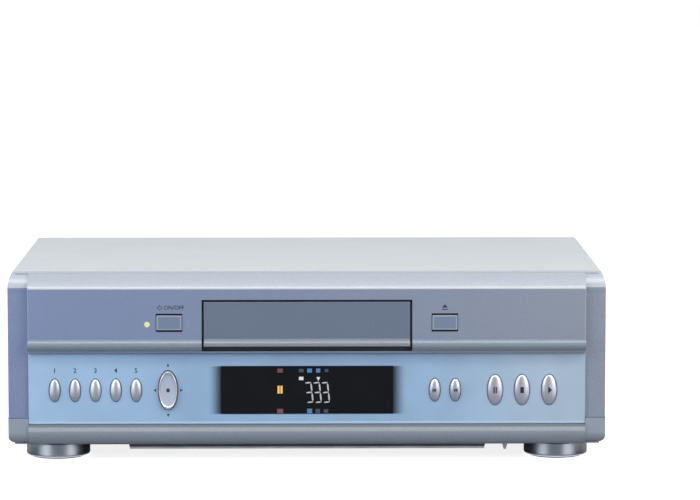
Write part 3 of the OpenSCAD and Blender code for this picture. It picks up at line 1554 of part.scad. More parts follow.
placed() chassis_pan();
placed() rear_panel();
placed() top_cover();
placed() front_panel();
placed() control_panel();
placed() display_window();
placed() display_tube();
placed() standby_lens();
placed() front_board();
placed() key_switches();
placed() front_feet();
placed() rear_feet();
placed() foot_pads();
placed() case_screws();
placed() main_board();
placed() board_chips();
placed() power_board();
placed() power_parts();
placed() jack_barrels();
placed() av_jack_block();
placed() component_jack_block();
placed() coax_svideo_block();
placed() ac_inlet();
placed() loader_frame();
placed() loader_stands();
placed() loader_dampers();
placed() clamp_bridge();
placed() clamp_puck();
placed() loading_motor();
placed() drive_belt();
placed() ribbon_cable();
placed() disc_tray();
placed() tray_fascia();
placed() tray_gear();
placed() pulley_gear();
placed() motor_pulley();
placed() cam_slide();
placed() traverse_deck();
placed() guide_rods();
placed() spindle_motor();
placed() sled_motor();
placed() turntable();
placed() pickup();
placed() lead_screw();
placed() power_key();
placed() open_key();
placed() function_key_1();
placed() function_key_2();
placed() function_key_3();
placed() function_key_4();
placed() function_key_5();
placed() nav_gimbal();
placed() nav_stem();
placed() nav_pad();
placed() skip_back_key();
placed() skip_next_key();
placed() pause_key();
placed() stop_key();
placed() play_key();
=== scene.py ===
"""Looks of a full-width DVD player with a motor-driven disc tray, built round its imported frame.

Everything is in metres in the frame's own axes: +X to the right, +Z up, and the front faces -Y.
"""

from __future__ import annotations

import json
import logging
import math
from collections.abc import Callable, Iterator, Sequence
from contextlib import contextmanager
from dataclasses import dataclass
from enum import Enum

import bmesh
import bpy
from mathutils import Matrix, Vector

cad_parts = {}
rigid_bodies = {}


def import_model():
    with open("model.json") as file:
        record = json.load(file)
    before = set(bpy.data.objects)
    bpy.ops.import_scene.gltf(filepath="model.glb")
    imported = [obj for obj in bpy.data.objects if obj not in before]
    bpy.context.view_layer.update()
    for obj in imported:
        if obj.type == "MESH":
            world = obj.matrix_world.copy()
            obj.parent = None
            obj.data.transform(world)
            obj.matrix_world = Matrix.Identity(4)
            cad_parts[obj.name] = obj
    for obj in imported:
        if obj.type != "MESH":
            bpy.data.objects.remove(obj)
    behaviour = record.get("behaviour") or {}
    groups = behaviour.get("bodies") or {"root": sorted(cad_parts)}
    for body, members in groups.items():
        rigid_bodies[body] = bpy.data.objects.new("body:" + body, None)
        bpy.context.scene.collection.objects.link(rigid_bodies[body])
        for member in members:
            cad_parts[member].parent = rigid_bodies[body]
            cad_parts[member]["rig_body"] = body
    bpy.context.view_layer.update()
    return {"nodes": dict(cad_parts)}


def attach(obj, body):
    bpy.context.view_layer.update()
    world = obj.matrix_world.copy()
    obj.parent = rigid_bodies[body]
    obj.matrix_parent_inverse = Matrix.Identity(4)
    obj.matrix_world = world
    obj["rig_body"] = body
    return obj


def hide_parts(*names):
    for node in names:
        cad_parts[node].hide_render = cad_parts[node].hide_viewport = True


LOG = logging.getLogger("dvd_player")
MM = 0.001
CABINET = "cabinet"
FACE_Y = -128.25
BAND_Y = -131.25
ROW_Z = 51.4
PAD_X = -100.0
PRINT_LIFT = 0.03
PRINT_THICKNESS = 0.1 * MM
SIGN_LIFT = 4.0 * MM
WHITE_LIGHT = (1.0, 1.0, 1.0, 1.0)
FACING_FRONT = (math.radians(90), 0.0, 0.0)

Socket = bpy.types.NodeSocket
Piece = bpy.types.Object
Pair = tuple[float, float]
Triple = tuple[float, float, float]


@dataclass(frozen=True)
class Tone:
    """A colour in display values from 0 to 255."""

    red: float
    green: float
    blue: float

    def times(self, factor: float) -> Tone:
        """Gives the tone with every channel times a factor, up to white."""
        return Tone(*(min(255, value * factor) for value in (self.red, self.green, self.blue)))

    def linear(self) -> tuple[float, float, float, float]:
        """Turns the tone into scene-linear light.

        Returns:
            Red, green, blue and an alpha of one.
        """
        shares = [value / 255 for value in (self.red, self.green, self.blue)]
        light = [s / 12.92 if s <= 0.04045 else ((s + 0.055) / 1.055) ** 2.4 for s in shares]
        return (light[0], light[1], light[2], 1.0)


@dataclass(frozen=True)
class GrainRule:
    """Size and stretch of a surface pattern."""

    scale: float
    stretch: Triple = (1.0, 1.0, 1.0)
    detail: float = 2.0


PATCHES = GrainRule(scale=22.0, detail=3.0)
COAT_ROUGHNESS = 0.12


class Grain(Enum):
    """How the surface of a finish is broken up."""

    FLAKE = GrainRule(scale=1500.0, detail=1.0)
    BRUSHED = GrainRule(scale=60.0, stretch=(1.0, 40.0, 40.0), detail=4.0)
    TURNED = GrainRule(scale=60.0, stretch=(1.0, 1.0, 45.0), detail=3.0)
    MOULDED = GrainRule(scale=1100.0, detail=3.0)
    POLISHED = GrainRule(scale=35.0, detail=1.0)
    ROLLED = GrainRule(scale=260.0, stretch=(0.25, 1.0, 1.0), detail=4.0)
    TRACKS = GrainRule(scale=420.0, stretch=(1.0, 0.18, 1.0), detail=0.0)


class Tree:
    """The node tree of a material or a world, built link by link round one shader."""

    def __init__(self, owner: bpy.types.Material | bpy.types.World, shader: str = "ShaderNodeBsdfPrincipled",
                 output: str = "ShaderNodeOutputMaterial") -> None:
        """Clears the tree and joins a shader to its output.

        Args:
            owner: The material or the world.
            shader: Kind of shader.
            output: Kind of output.
        """
        owner.use_nodes = True
        self.owner = owner
        self.nodes = owner.node_tree.nodes
        self.nodes.clear()
        self.shader = self.nodes.new(shader)
        self.link(self.shader.outputs[0], self.nodes.new(output).inputs["Surface"])

    def link(self, source: Socket, target: Socket) -> None:
        """Joins two sockets."""
        self.owner.node_tree.links.new(source, target)

    def feed(self, socket: Socket, value: Socket | float) -> None:
        """Links a socket, or sets it where the value is a plain number."""
        if isinstance(value, Socket):
            self.link(value, socket)
        else:
            socket.default_value = value

    def set(self, **values: float | Socket | tuple[float, ...]) -> None:
        """Feeds the shader's sockets, with underscores for the spaces in their names."""
        for name, value in values.items():
            self.feed(self.shader.inputs[name.replace("_", " ")], value)

    def place(self) -> Socket:
        """Gives the place on the piece, in the frame's metres."""
        return self.nodes.new("ShaderNodeTexCoord").outputs["Object"]

    def axes(self) -> tuple[Socket, Socket, Socket]:
        """Gives x, y and z of the place on the piece."""
        split = self.nodes.new("ShaderNodeSeparateXYZ")
        self.link(self.place(), split.inputs["Vector"])
        return (split.outputs["X"], split.outputs["Y"], split.outputs["Z"])

    def noise(self, rule: GrainRule) -> Socket:
        """Adds a noise pattern.

        Args:
            rule: Size and stretch of the pattern.

        Returns:
            The pattern, about 0.5 on average.
        """
        mapping = self.nodes.new("ShaderNodeMapping")
        mapping.inputs["Scale"].default_value = rule.stretch
        self.link(self.place(), mapping.inputs["Vector"])
        noise = self.nodes.new("ShaderNodeTexNoise")
        noise.inputs["Scale"].default_value = rule.scale
        noise.inputs["Detail"].default_value = rule.detail
        self.link(mapping.outputs["Vector"], noise.inputs["Vector"])
        return noise.outputs["Fac"]

    def math(self, kind: str, first: Socket | float, second: Socket | float = 0.0) -> Socket:
        """Adds one sum.

        Args:
            kind: Name of the operation.
            first: First value.
            second: Second value.

        Returns:
            The result.
        """
        node = self.nodes.new("ShaderNodeMath")
        node.operation = kind
        self.feed(node.inputs[0], first)
        self.feed(node.inputs[1], second)
        return node.outputs["Value"]

    def away(self, value: Socket, middle: float = 0.0) -> Socket:
        """Gives how far a value is from a middle, to either side."""
        return self.math("ABSOLUTE", self.math("SUBTRACT", value, middle))

    def span(self, value: Socket, given: Pair, wanted: Pair = (0.0, 1.0)) -> Socket:
        """Carries one range over to another along a smooth curve.

        Args:
            value: What is carried over.
            given: Range that the value has.
            wanted: Range of the result.

        Returns:
            The value in the wanted range.
        """
        node = self.nodes.new("ShaderNodeMapRange")
        node.interpolation_type = "SMOOTHSTEP"
        self.link(value, node.inputs["Value"])
        for name, number in zip(("From Min", "From Max", "To Min", "To Max"), given + wanted):
            node.inputs[name].default_value = number
        return node.outputs["Result"]

    def past(self, value: Socket, edge: float, soft: float) -> Socket:
        """Gives one where a value is past an edge and zero short of it, with a soft change."""
        return self.span(value, (edge - soft, edge + soft))

    def short_of(self, value: Socket, edge: float, soft: float) -> Socket:
        """Gives one where a value is short of an edge and zero past it, with a soft change."""
        return self.span(value, (edge - soft, edge + soft), (1.0, 0.0))

    def within(self, value: Socket, low: float, high: float, soft: float) -> Socket:
        """Gives one where a value is between two edges and zero outside, with soft changes."""
        return self.math("MULTIPLY", self.past(value, low, soft), self.short_of(value, high, soft))

    def blend(self, share: Socket, first: Tone | Socket, second: Tone | Socket) -> Socket:
        """Mixes two colours.

        Args:
            share: How much of the second colour shows.
            first: Colour at a share of zero.
            second: Colour at a share of one.

        Returns:
            The mixed colour.
        """
        node = self.nodes.new("ShaderNodeMix")
        node.data_type = "RGBA"
        self.link(share, node.inputs["Factor"])
        for name, colour in (("A", first), ("B", second)):
            socket = next(s for s in node.inputs if s.name == name and s.type == "RGBA")
            self.feed(socket, colour.linear() if isinstance(colour, Tone) else colour)
        return next(s for s in node.outputs if s.type == "RGBA")

    def emboss(self, height: Socket, depth: float) -> None:
        """Raises the surface by a pattern.

        Args:
            height: The pattern.
            depth: Depth of the pattern in metres.
        """
        bump = self.nodes.new("ShaderNodeBump")
        bump.inputs["Strength"].default_value = 0.5
        bump.inputs["Distance"].default_value = depth
        self.link(height, bump.inputs["Height"])
        self.set(Normal=bump.outputs["Normal"])


@dataclass(frozen=True)
class Finish:
    """One surface finish and the record slot that it belongs to."""

    name: str
    slot: str
    tone: Tone
    grain: Grain = Grain.MOULDED
    metallic: float = 0.0
    roughness: float = 0.5
    coat: float = 0.0
    spread: float = 0.07
    depth: float = 0.02 * MM
    specular: float = 0.5

    def strayed(self, tree: Tree, tone: Tone) -> Socket:
        """Lets a tone stray by the finish's grain.

        Args:
            tree: Tree that the nodes go into.
            tone: The mean tone.

        Returns:
            The colour's socket.
        """
        share = tree.span(tree.noise(self.grain.value), (0.3, 0.7))
        return tree.blend(share, tone.times(1 - self.spread), tone.times(1 + self.spread))

    def colour(self, tree: Tree) -> Socket:
        """Builds the colour and gives its socket. A finish of several tones lays them on here."""
        return self.strayed(tree, self.tone)

    def build(self, tree: Tree) -> None:
        """Builds the shader round the colour.

        Args:
            tree: Tree that the nodes go into.
        """
        rough = (self.roughness * 0.88, min(1.0, self.roughness * 1.12))
        tree.set(Base_Color=self.colour(tree), Metallic=self.metallic, Specular_IOR_Level=self.specular)
        tree.set(Coat_Weight=self.coat, Coat_Roughness=COAT_ROUGHNESS)
        tree.set(Roughness=tree.span(tree.noise(PATCHES), (0.25, 0.75), rough))
        tree.emboss(tree.noise(self.grain.value), self.depth)

    def material(self) -> bpy.types.Material:
        """Makes the material once and gives it again after that.

        Returns:
            The material.
        """
        material = bpy.data.materials.get(self.name)
        if material is None:
            material = bpy.data.materials.new(self.name)
            self.build(Tree(material))
        return material

    def dress(self, piece: Piece) -> None:
        """Gives a piece this finish."""
        piece.data.materials.clear()
        piece.data.materials.append(self.material())


@dataclass(frozen=True)
class PanelPaint(Finish):
    """Metallic paint of the front panel: a blue-grey band and a silver rail, with painted light and shade
    laid over them.
    """

    # Tone at the band's right end: the shift from bluer at the left to greyer at the right is painted light,
    # as from a bluish lamp at the left.
    right: Tone = Tone(146, 154, 170)
    # Lighter shoulder tone: a painted reflection of the overhead light on the upward-facing shoulder.
    crown: Tone = Tone(177, 182, 191)
    rail: Tone = Tone(156, 165, 178)
    # Greyer bead tone, which paints in part of the white reflection along the bead.
    bead: Tone = Tone(139, 151, 164)
    bead_z: Pair = (80.2 * MM, 88.9 * MM)
    # Painted highlight: a pale line along the edge between the shoulder and the band.
    line: Tone = Tone(206, 210, 214)
    crown_z: float = 125.4 * MM
    rail_z: float = 27.0 * MM
    # Painted highlight along the top of the rail, below the acrylic.
    lip: Tone = Tone(183, 188, 196)
    lip_z: Pair = (21.6 * MM, 24.8 * MM)
    shade: Tone = Tone(136, 144, 156)
    cheek_z: float = 31.0 * MM
    # Painted shadow in the joint between the cheeks and the blocks below them, at the ends.
    seam: Tone = Tone(100, 106, 116)
    half_width: float = 215 * MM
    middle_half: float = 200.5 * MM
    soft: float = 0.3 * MM

    def colour(self, tree: Tree) -> Socket:
        """Lays the tones over each other, from the band outwards.

        Args:
            tree: Tree that the nodes go into.

        Returns:
            The colour's socket.
        """
        x, _, z = tree.axes()
        # Painted light: the band blends from a bluer tone at the left end to a greyer one at the right.
        across = tree.span(x, (-self.half_width, self.half_width))
        paint = tree.blend(across, self.strayed(tree, self.tone), self.strayed(tree, self.right))
        ends = tree.past(tree.away(x), self.middle_half, 0.05 * MM)
        middle = tree.math("SUBTRACT", 1.0, ends)
        rail_top = tree.span(ends, (0.0, 1.0), (self.rail_z, self.cheek_z))
        paint = tree.blend(tree.math("LESS_THAN", z, rail_top), paint, self.strayed(tree, self.rail))
        for (low, high), soft, where, tone in (
            # Painted highlight along the top of the rail.
            (self.lip_z, 0.5 * MM, middle, self.strayed(tree, self.lip)),
            ((self.lip_z[1], self.rail_z), 0.4 * MM, middle, self.shade),
            # Greyer bead tone, partly a painted reflection.
            (self.bead_z, self.soft, middle, self.strayed(tree, self.bead)),
            # Painted shadow in the joint at the ends.
            ((self.cheek_z - 0.1 * MM, self.cheek_z + 0.5 * MM), 0.2 * MM, ends, self.seam),
        ):
            share = tree.math("MULTIPLY", tree.within(z, low, high, soft), where)
            paint = tree.blend(share, paint, tone)
        # Painted reflection: the shoulder above the band takes the lighter crown tone.
        paint = tree.blend(tree.past(z, self.crown_z, self.soft), paint, self.strayed(tree, self.crown))
        # Painted highlight along the shoulder's lower edge, over the band only.
        edge = tree.within(z, self.crown_z - 0.7 * MM, self.crown_z + 0.8 * MM, self.soft)
        return tree.blend(tree.math("MULTIPLY", edge, middle), paint, self.line)


@dataclass(frozen=True)
class PrintedAcrylic(Finish):
    """Blue acrylic with a painted sheen that pales it towards its ends, a painted highlight along its foot,
    and a dark print that fades out by the window.
    """

    # Paler end tones: a painted sheen, bluer at the left end and greyer at the right.
    left: Tone = Tone(166, 195, 225)
    right: Tone = Tone(174, 192, 211)
    half_width: float = 200.0 * MM
    print_tone: Tone = Tone(24, 25, 29)
    fade: Pair = (60.2 * MM, 72.0 * MM)
    window_half: float = 17.2 * MM
    # Painted highlight along the sheet's lower edge.
    border: Tone = Tone(186, 207, 226)
    border_z: float = 28.7 * MM

    def colour(self, tree: Tree) -> Socket:
        """Mixes the blue across the sheet and lays the print over it.

        Args:
            tree: Tree that the nodes go into.

        Returns:
            The colour's socket.
        """
        x, _, z = tree.axes()
        sheet = self.strayed(tree, self.tone)
        # Painted sheen: the blue pales towards both ends.
        for sign, tone in ((-1.0, self.left), (1.0, self.right)):
            share = tree.span(tree.math("MULTIPLY", x, sign), (0.3 * self.half_width, self.half_width))
            sheet = tree.blend(share, sheet, self.strayed(tree, tone))
        # Painted highlight along the lower edge.
        sheet = tree.blend(tree.short_of(z, self.border_z, 0.3 * MM), sheet, self.border)
        beside = tree.span(tree.away(x), self.fade, (1.0, 0.0))
        ends = (self.window_half - 0.6 * MM, self.window_half + 0.9 * MM)
        level = tree.span(tree.away(z, ROW_Z * MM), ends, (1.0, 0.0))
        return tree.blend(tree.math("MULTIPLY", beside, level), sheet, self.print_tone)


@dataclass(frozen=True)
class FasciaPaint(Finish):
    """Paint of the tray's front, with a paler, greyer tone along the bead at its foot that is partly a
    painted reflection.
    """

    bead: Tone = Tone(141, 146, 154)
    bead_z: float = 88.9 * MM

    def colour(self, tree: Tree) -> Socket:
        """Lays the paler bead tone over the foot of the paint and gives the colour's socket."""
        low = tree.short_of(tree.axes()[2], self.bead_z, 0.3 * MM)
        # Partly painted reflection: the bead along the foot takes a paler, greyer tone.
        return tree.blend(low, self.strayed(tree, self.tone), self.strayed(tree, self.bead))


@dataclass(frozen=True)
class CoatedSheet(Finish):
    """Sheet steel, dark all over but pale at its two ends and below a height."""

    bare: Tone = Tone(214, 218, 224)
    coat_half: float = 201.0 * MM
    coat_z: float = 8.5 * MM

    def colour(self, tree: Tree) -> Socket:
        """Pales the sheet at its two ends and below a height.

        Args:
            tree: Tree that the nodes go into.

        Returns:
            The colour's socket.
        """
        x, _, z = tree.axes()
        ends = tree.past(tree.away(x), self.coat_half, 0.2 * MM)
        share = tree.math("MAXIMUM", ends, tree.short_of(z, self.coat_z, 0.5 * MM))
        return tree.blend(share, self.strayed(tree, self.tone), self.strayed(tree, self.bare))


@dataclass(frozen=True)
class BandKeyPaint(Finish):
    """Paint of the keys in the band: a painted highlight as a light border, and painted shade on the skirt
    inside the slot.
    """

    # Light border: a painted highlight on the key's edges.
    border: Tone = Tone(158, 168, 184)
    # Dark skirt: painted shade on the part of the key inside the slot.
    skirt: Tone = Tone(40, 43, 48)
    middle: Pair = (99.0 * MM, 100.6 * MM)
    inner_half: Pair = (7.9 * MM, 4.3 * MM)
    skirt_y: float = -131.0 * MM
    soft: float = 0.25 * MM

    def colour(self, tree: Tree) -> Socket:
        """Lays the border over the paint and the skirt behind it.

        Args:
            tree: Tree that the nodes go into.

        Returns:
            The colour's socket.
        """
        x, y, z = tree.axes()
        sides = tree.past(tree.away(tree.away(x), self.middle[0]), self.inner_half[0], self.soft)
        ends = tree.past(tree.away(z, self.middle[1]), self.inner_half[1], self.soft)
        # Painted highlight round the key's edges.
        paint = tree.blend(tree.math("MAXIMUM", sides, ends), self.strayed(tree, self.tone), self.border)
        # Painted shade on the key behind the band's face.
        return tree.blend(tree.past(y, self.skirt_y + self.soft, self.soft), paint, self.skirt)


@dataclass(frozen=True)
class SpunMetal(Finish):
    """Plated metal turned about an upright axis, so that its gloss stretches up and down."""

    stretch: float = 0.9

    def build(self, tree: Tree) -> None:
        """Adds the gloss's direction to the plain finish.

        Args:
            tree: Tree that the nodes go into.
        """
        super().build(tree)
        upright = tree.nodes.new("ShaderNodeCombineXYZ")
        upright.inputs["Z"].default_value = 1.0
        tree.set(Tangent=upright.outputs["Vector"], Anisotropic=self.stretch)


@dataclass(frozen=True)
class Glow(Finish):
    """A lit mark, with a faint cell pattern as on a display tube."""

    grain: Grain = Grain.POLISHED
    unlit: Tone = Tone(34, 36, 40)

    def build(self, tree: Tree) -> None:
        """Builds the lit shader."""
        tree.set(Base_Color=self.strayed(tree, self.unlit), Roughness=self.roughness)
        tree.set(Emission_Color=self.colour(tree), Emission_Strength=1.0)


class Finishes(Enum):
    """Every finish on the player."""

    COVER = Finish("cover_silver_paint", "cover_paint", Tone(213, 217, 220), Grain.FLAKE,
                   spread=0.02, specular=0.12)
    PANEL = PanelPaint("panel_metallic_paint", "panel_paint", Tone(133, 147, 181), Grain.FLAKE,
                       metallic=0.15, roughness=0.38, coat=0.85, spread=0.03, specular=0.25)
    FASCIA = FasciaPaint("fascia_metallic_paint", "fascia_paint", Tone(116, 128, 147), Grain.FLAKE,
                         metallic=0.2, roughness=0.36, coat=0.5, spread=0.03, specular=0.25)
    ACRYLIC = PrintedAcrylic("blue_printed_acrylic", "blue_acrylic", Tone(152, 181, 212), Grain.POLISHED,
                             roughness=0.16, spread=0.02, specular=0.25)
    WINDOW = Finish("window_dark_acrylic", "window_black", Tone(21, 22, 26), Grain.POLISHED,
                    roughness=0.12, spread=0.05, specular=0.2)
    TUBE = Finish("display_tube_glass", "tube_glass", Tone(60, 64, 68), Grain.POLISHED,
                  roughness=0.1, coat=0.2)
    LAMP = Glow("standby_lamp", "lamp_green", Tone(222, 232, 150),
                roughness=0.2, spread=0.05, unlit=Tone(70, 76, 58))
    KEY = Finish("key_bright_metallic", "key_plastic", Tone(204, 206, 218), Grain.POLISHED,
                 metallic=0.75, roughness=0.36, spread=0.03)
    BAND_KEY = BandKeyPaint("band_key_metallic", "key_plastic", Tone(126, 140, 164), Grain.FLAKE,
                            metallic=0.15, roughness=0.38, spread=0.03, specular=0.25)
    PAD_RIM = Finish("pad_bright_rim", "key_plastic", Tone(208, 205, 208), Grain.POLISHED,
                     metallic=0.5, roughness=0.24, spread=0.03)
    PAD_DISH = Finish("pad_dish_tint", "key_plastic", Tone(184, 193, 210), Grain.FLAKE,
                      metallic=0.1, spread=0.03, specular=0.2)
    FOOT = SpunMetal("foot_bright_plating", "foot_plating", Tone(196, 203, 214), Grain.TURNED,
                     metallic=1.0, roughness=0.36, spread=0.03, depth=0.004 * MM, stretch=0.78)
    INK = Finish("dark_print", "black_plastic", Tone(52, 58, 70), spread=0.08, depth=0.005 * MM)
    KEY_INK = Finish("key_print", "black_plastic", Tone(38, 40, 48),
                     roughness=0.45, spread=0.08, depth=0.005 * MM)
    BLACK = Finish("black_matt_plastic", "black_plastic", Tone(38, 38, 41), roughness=0.55)
    DARK = Finish("dark_grey_plastic", "dark_plastic", Tone(58, 60, 65))
    WHITE = Finish("white_gear_plastic", "white_plastic", Tone(226, 226, 219), roughness=0.42, spread=0.03)
    RUBBER = Finish("black_rubber", "rubber", Tone(34, 34, 35), roughness=0.75, spread=0.12, depth=0.05 * MM)
    ZINC = Finish("zinc_sheet_steel", "zinc_sheet", Tone(182, 184, 187), Grain.ROLLED,
                  metallic=0.75, roughness=0.36, spread=0.04)
    COATED = CoatedSheet("dark_sheet_pale_edges", "zinc_sheet", Tone(84, 90, 94), Grain.ROLLED,
                         metallic=0.4, roughness=0.42, spread=0.06, specular=0.3)
    STEEL = Finish("ground_bright_steel", "bright_steel", Tone(202, 204, 208), Grain.BRUSHED,
                   metallic=0.95, roughness=0.24, spread=0.05)
    NICKEL = Finish("nickel_plating", "plated_metal", Tone(208, 206, 202), Grain.POLISHED,
                    metallic=1.0, roughness=0.14, spread=0.03)
    SCREW = Finish("screw_dark_zinc", "bright_steel", Tone(128, 129, 133), Grain.ROLLED,
                   metallic=0.85, roughness=0.34, spread=0.06)
    RECESS = Finish("screw_recess_shade", "bright_steel", Tone(40, 41, 44), Grain.ROLLED,
                    metallic=0.4, spread=0.1)
    GREEN_BOARD = Finish("green_circuit_board", "green_board", Tone(44, 98, 58), Grain.TRACKS,
                         roughness=0.42, coat=0.2, spread=0.2)
    TAN_BOARD = Finish("tan_circuit_board", "tan_board", Tone(162, 136, 82), Grain.TRACKS,
                       coat=0.1, spread=0.14)
    JACK_GREEN = Finish("jack_green_plastic", "green_plastic", Tone(38, 128, 70), roughness=0.4)
    JACK_BLUE = Finish("jack_blue_plastic", "green_plastic", Tone(42, 84, 168), roughness=0.4)
    JACK_RED = Finish("jack_red_plastic", "yellow_plastic", Tone(190, 40, 40), roughness=0.4)
    JACK_YELLOW = Finish("jack_yellow_plastic", "yellow_plastic", Tone(226, 192, 52), roughness=0.4)
    JACK_WHITE = Finish("jack_white_plastic", "white_plastic", Tone(230, 230, 226), roughness=0.4)
    JACK_ORANGE = Finish("jack_orange_plastic", "yellow_plastic", Tone(222, 122, 40), roughness=0.4)
    DIGIT = Glow("display_digit_light", "tube_glass", Tone(176, 181, 188))
    BRIGHT_MARK = Glow("display_bright_mark", "tube_glass", Tone(204, 207, 210))
    AMBER = Glow("display_amber_light", "tube_glass", Tone(248, 192, 92))
    # The red, blue and dim marks are printed marks at the window's top and bottom edges; their glow is
    # painted light.
    RED_MARK = Glow("display_red_mark", "tube_glass", Tone(112, 58, 60))
    BLUE_MARK = Glow("display_blue_mark", "tube_glass", Tone(68, 124, 172))
    DIM_MARK = Glow("display_dim_mark", "tube_glass", Tone(50, 64, 80))

    def dress(self, piece: Piece) -> None:
        """Gives a piece this finish."""
        self.value.dress(piece)

    def fit(self, piece: Piece, body: str = CABINET) -> None:
        """Gives a piece this finish and lets it move with a body."""
        self.dress(piece)
        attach(piece, body)


FINISH_NODES: dict[Finishes, str] = {
    Finishes.COATED: "chassis_pan",
    Finishes.COVER: "top_cover",
    Finishes.PANEL: "front_panel",
    Finishes.ACRYLIC: "control_panel",
    Finishes.WINDOW: "display_window",
    Finishes.TUBE: "display_tube",
    Finishes.LAMP: "standby_lens",
    Finishes.FASCIA: "tray_fascia",
    Finishes.FOOT: "front_feet",
    Finishes.SCREW: "case_screws",
    Finishes.NICKEL: "jack_barrels",
    Finishes.PAD_RIM: "nav_pad",
    Finishes.BAND_KEY: "power_key open_key",
    Finishes.GREEN_BOARD: "front_board main_board",
    Finishes.TAN_BOARD: "power_board",
    Finishes.RUBBER: "foot_pads loader_dampers drive_belt",
    Finishes.ZINC: "rear_panel loader_stands clamp_bridge traverse_deck",
    Finishes.STEEL: "loading_motor guide_rods spindle_motor sled_motor lead_screw",
    Finishes.DARK: "power_parts loader_frame clamp_puck disc_tray pickup",
    Finishes.WHITE: "ribbon_cable tray_gear pulley_gear motor_pulley cam_slide nav_gimbal nav_stem",
    Finishes.BLACK: "key_switches rear_feet board_chips av_jack_block component_jack_block "
                    "coax_svideo_block ac_inlet turntable",
}
NODE_FINISH = {node: finish for finish, nodes in FINISH_NODES.items() for node in nodes.split()}


class Bench:
    """Modelling by operators, on one object at a time."""

    @staticmethod
    def clear() -> None:
        """Leaves edit mode and deselects everything."""
        if bpy.context.object is not None and bpy.context.object.mode != "OBJECT":
            bpy.ops.object.mode_set(mode="OBJECT")
        bpy.ops.object.select_all(action="DESELECT")

    @staticmethod
    def take(piece: Piece) -> None:
        """Selects one object alone and makes it active."""
        Bench.clear()
        piece.select_set(True)
        bpy.context.view_layer.objects.active = piece

    @staticmethod
    @contextmanager
    def edit(piece: Piece) -> Iterator[None]:
        """Opens a piece in edit mode with everything selected.

        Args:
            piece: The object to edit.

        Returns:
            Edit mode, until the with block ends.
        """
        Bench.take(piece)
        bpy.ops.object.mode_set(mode="EDIT")
        bpy.ops.mesh.select_all(action="SELECT")
        yield
        bpy.ops.object.mode_set(mode="OBJECT")

    @staticmethod
    def pick_faces(piece: Piece, test: Callable[[bmesh.types.BMFace], bool]) -> None:
        """Selects the faces that pass a test, in edit mode.

        Args:
            piece: The object in edit mode.
            test: Says whether a face is wanted.
        """
        bpy.ops.mesh.select_mode(type="FACE")
        bpy.ops.mesh.select_all(action="DESELECT")
        mesh = bmesh.from_edit_mesh(piece.data)
        for face in mesh.faces:
            face.select_set(test(face))
        bmesh.update_edit_mesh(piece.data)

    @staticmethod
    def extrude(move: Triple) -> None:
        """Extrudes what is selected in edit mode."""
        bpy.ops.mesh.extrude_region_move(TRANSFORM_OT_translate={"value": move})

    @staticmethod
    def named(name: str) -> Piece:
        """Names the object that was just added, and gives it."""
        piece = bpy.context.object
        piece.name = name
        piece.data.name = name
        return piece

    @staticmethod
    def modify(piece: Piece, kind: str, **settings: object) -> None:
        """Adds a modifier and applies it.

        Args:
            piece: The object.
            kind: Kind of modifier.
            settings: Values of the modifier.
        """
        Bench.take(piece)
        modifier = piece.modifiers.new(kind.lower(), kind)
        for name, value in settings.items():
            setattr(modifier, name, value)
        bpy.ops.object.modifier_apply(modifier=modifier.name)

    @staticmethod
    def settle(piece: Piece) -> None:
        """Puts the object's place, turn and scale into its mesh."""
        Bench.take(piece)
        bpy.ops.object.transform_apply(location=True, rotation=True, scale=True)

    @staticmethod
    def smooth(piece: Piece, angle: float = 32.0) -> None:
        """Shades a piece smooth below an angle in degrees."""
        Bench.take(piece)
        bpy.ops.object.shade_smooth_by_angle(angle=math.radians(angle))

    @staticmethod
    def outward(piece: Piece) -> None:
        """Merges doubles and turns all faces outwards."""
        with Bench.edit(piece):
            bpy.ops.mesh.remove_doubles(threshold=0.002 * MM)
            bpy.ops.mesh.normals_make_consistent(inside=False)

    @staticmethod
    def join(pieces: Sequence[Piece], name: str) -> Piece:
        """Joins several objects into one.

        Args:
            pieces: The objects.
            name: Name of the joined object.

        Returns:
            The joined object.
        """
        Bench.take(pieces[0])
        for piece in pieces[1:]:
            piece.select_set(True)
        bpy.ops.object.join()
        return Bench.named(name)

    @staticmethod
    def slab(name: str, centre: Vector, size: Sequence[float], edge: float) -> Piece:
        """Makes a block with rounded edges.

        Args:
            name: Name of the piece.
            centre: Its middle.
            size: Its size along x, y and z.
            edge: Width of the rounded edges.

        Returns:
            The piece.
        """
        Bench.clear()
        bpy.ops.mesh.primitive_cube_add(size=1, location=centre)
        piece = Bench.named(name)
        piece.scale = size
        Bench.settle(piece)
        with Bench.edit(piece):
            bpy.ops.mesh.bevel(offset=edge, segments=2, affect="EDGES")
        Bench.smooth(piece)
        return piece

    @staticmethod
    def turned(name: str, profile: Sequence[Pair], radii: Pair, centre: Vector, corners: int = 64) -> Piece:
        """Makes a turned form that looks to the front, by extruding and resizing a disc step by step.

        Args:
            name: Name of the piece.
            profile: Radius share and distance along y in millimetres, from the back to the front.
            radii: Half width and half height of a radius share of one, in millimetres.
            centre: Where the distance is zero.
            corners: Number of corners round it.

        Returns:
            The closed piece.
        """
        Bench.clear()
        bpy.ops.mesh.primitive_circle_add(vertices=corners, radius=1.0, fill_type="NGON")
        piece = Bench.named(name)
        piece.rotation_euler = FACING_FRONT
        Bench.settle(piece)
        share, step = profile[0]
        piece.location = centre + Vector((0.0, step * MM, 0.0))
        piece.scale = (radii[0] * MM * share, 1.0, radii[1] * MM * share)
        Bench.settle(piece)
        with Bench.edit(piece):
            for next_share, next_step in profile[1:]:
                Bench.extrude((0.0, (next_step - step) * MM, 0.0))
                ratio = next_share / share
                middle = centre + Vector((0.0, next_step * MM, 0.0))
                bpy.ops.transform.resize(value=(ratio, 1.0, ratio), center_override=tuple(middle))
                share, step = next_share, next_step
        Bench.outward(piece)
        Bench.smooth(piece)
        return piece

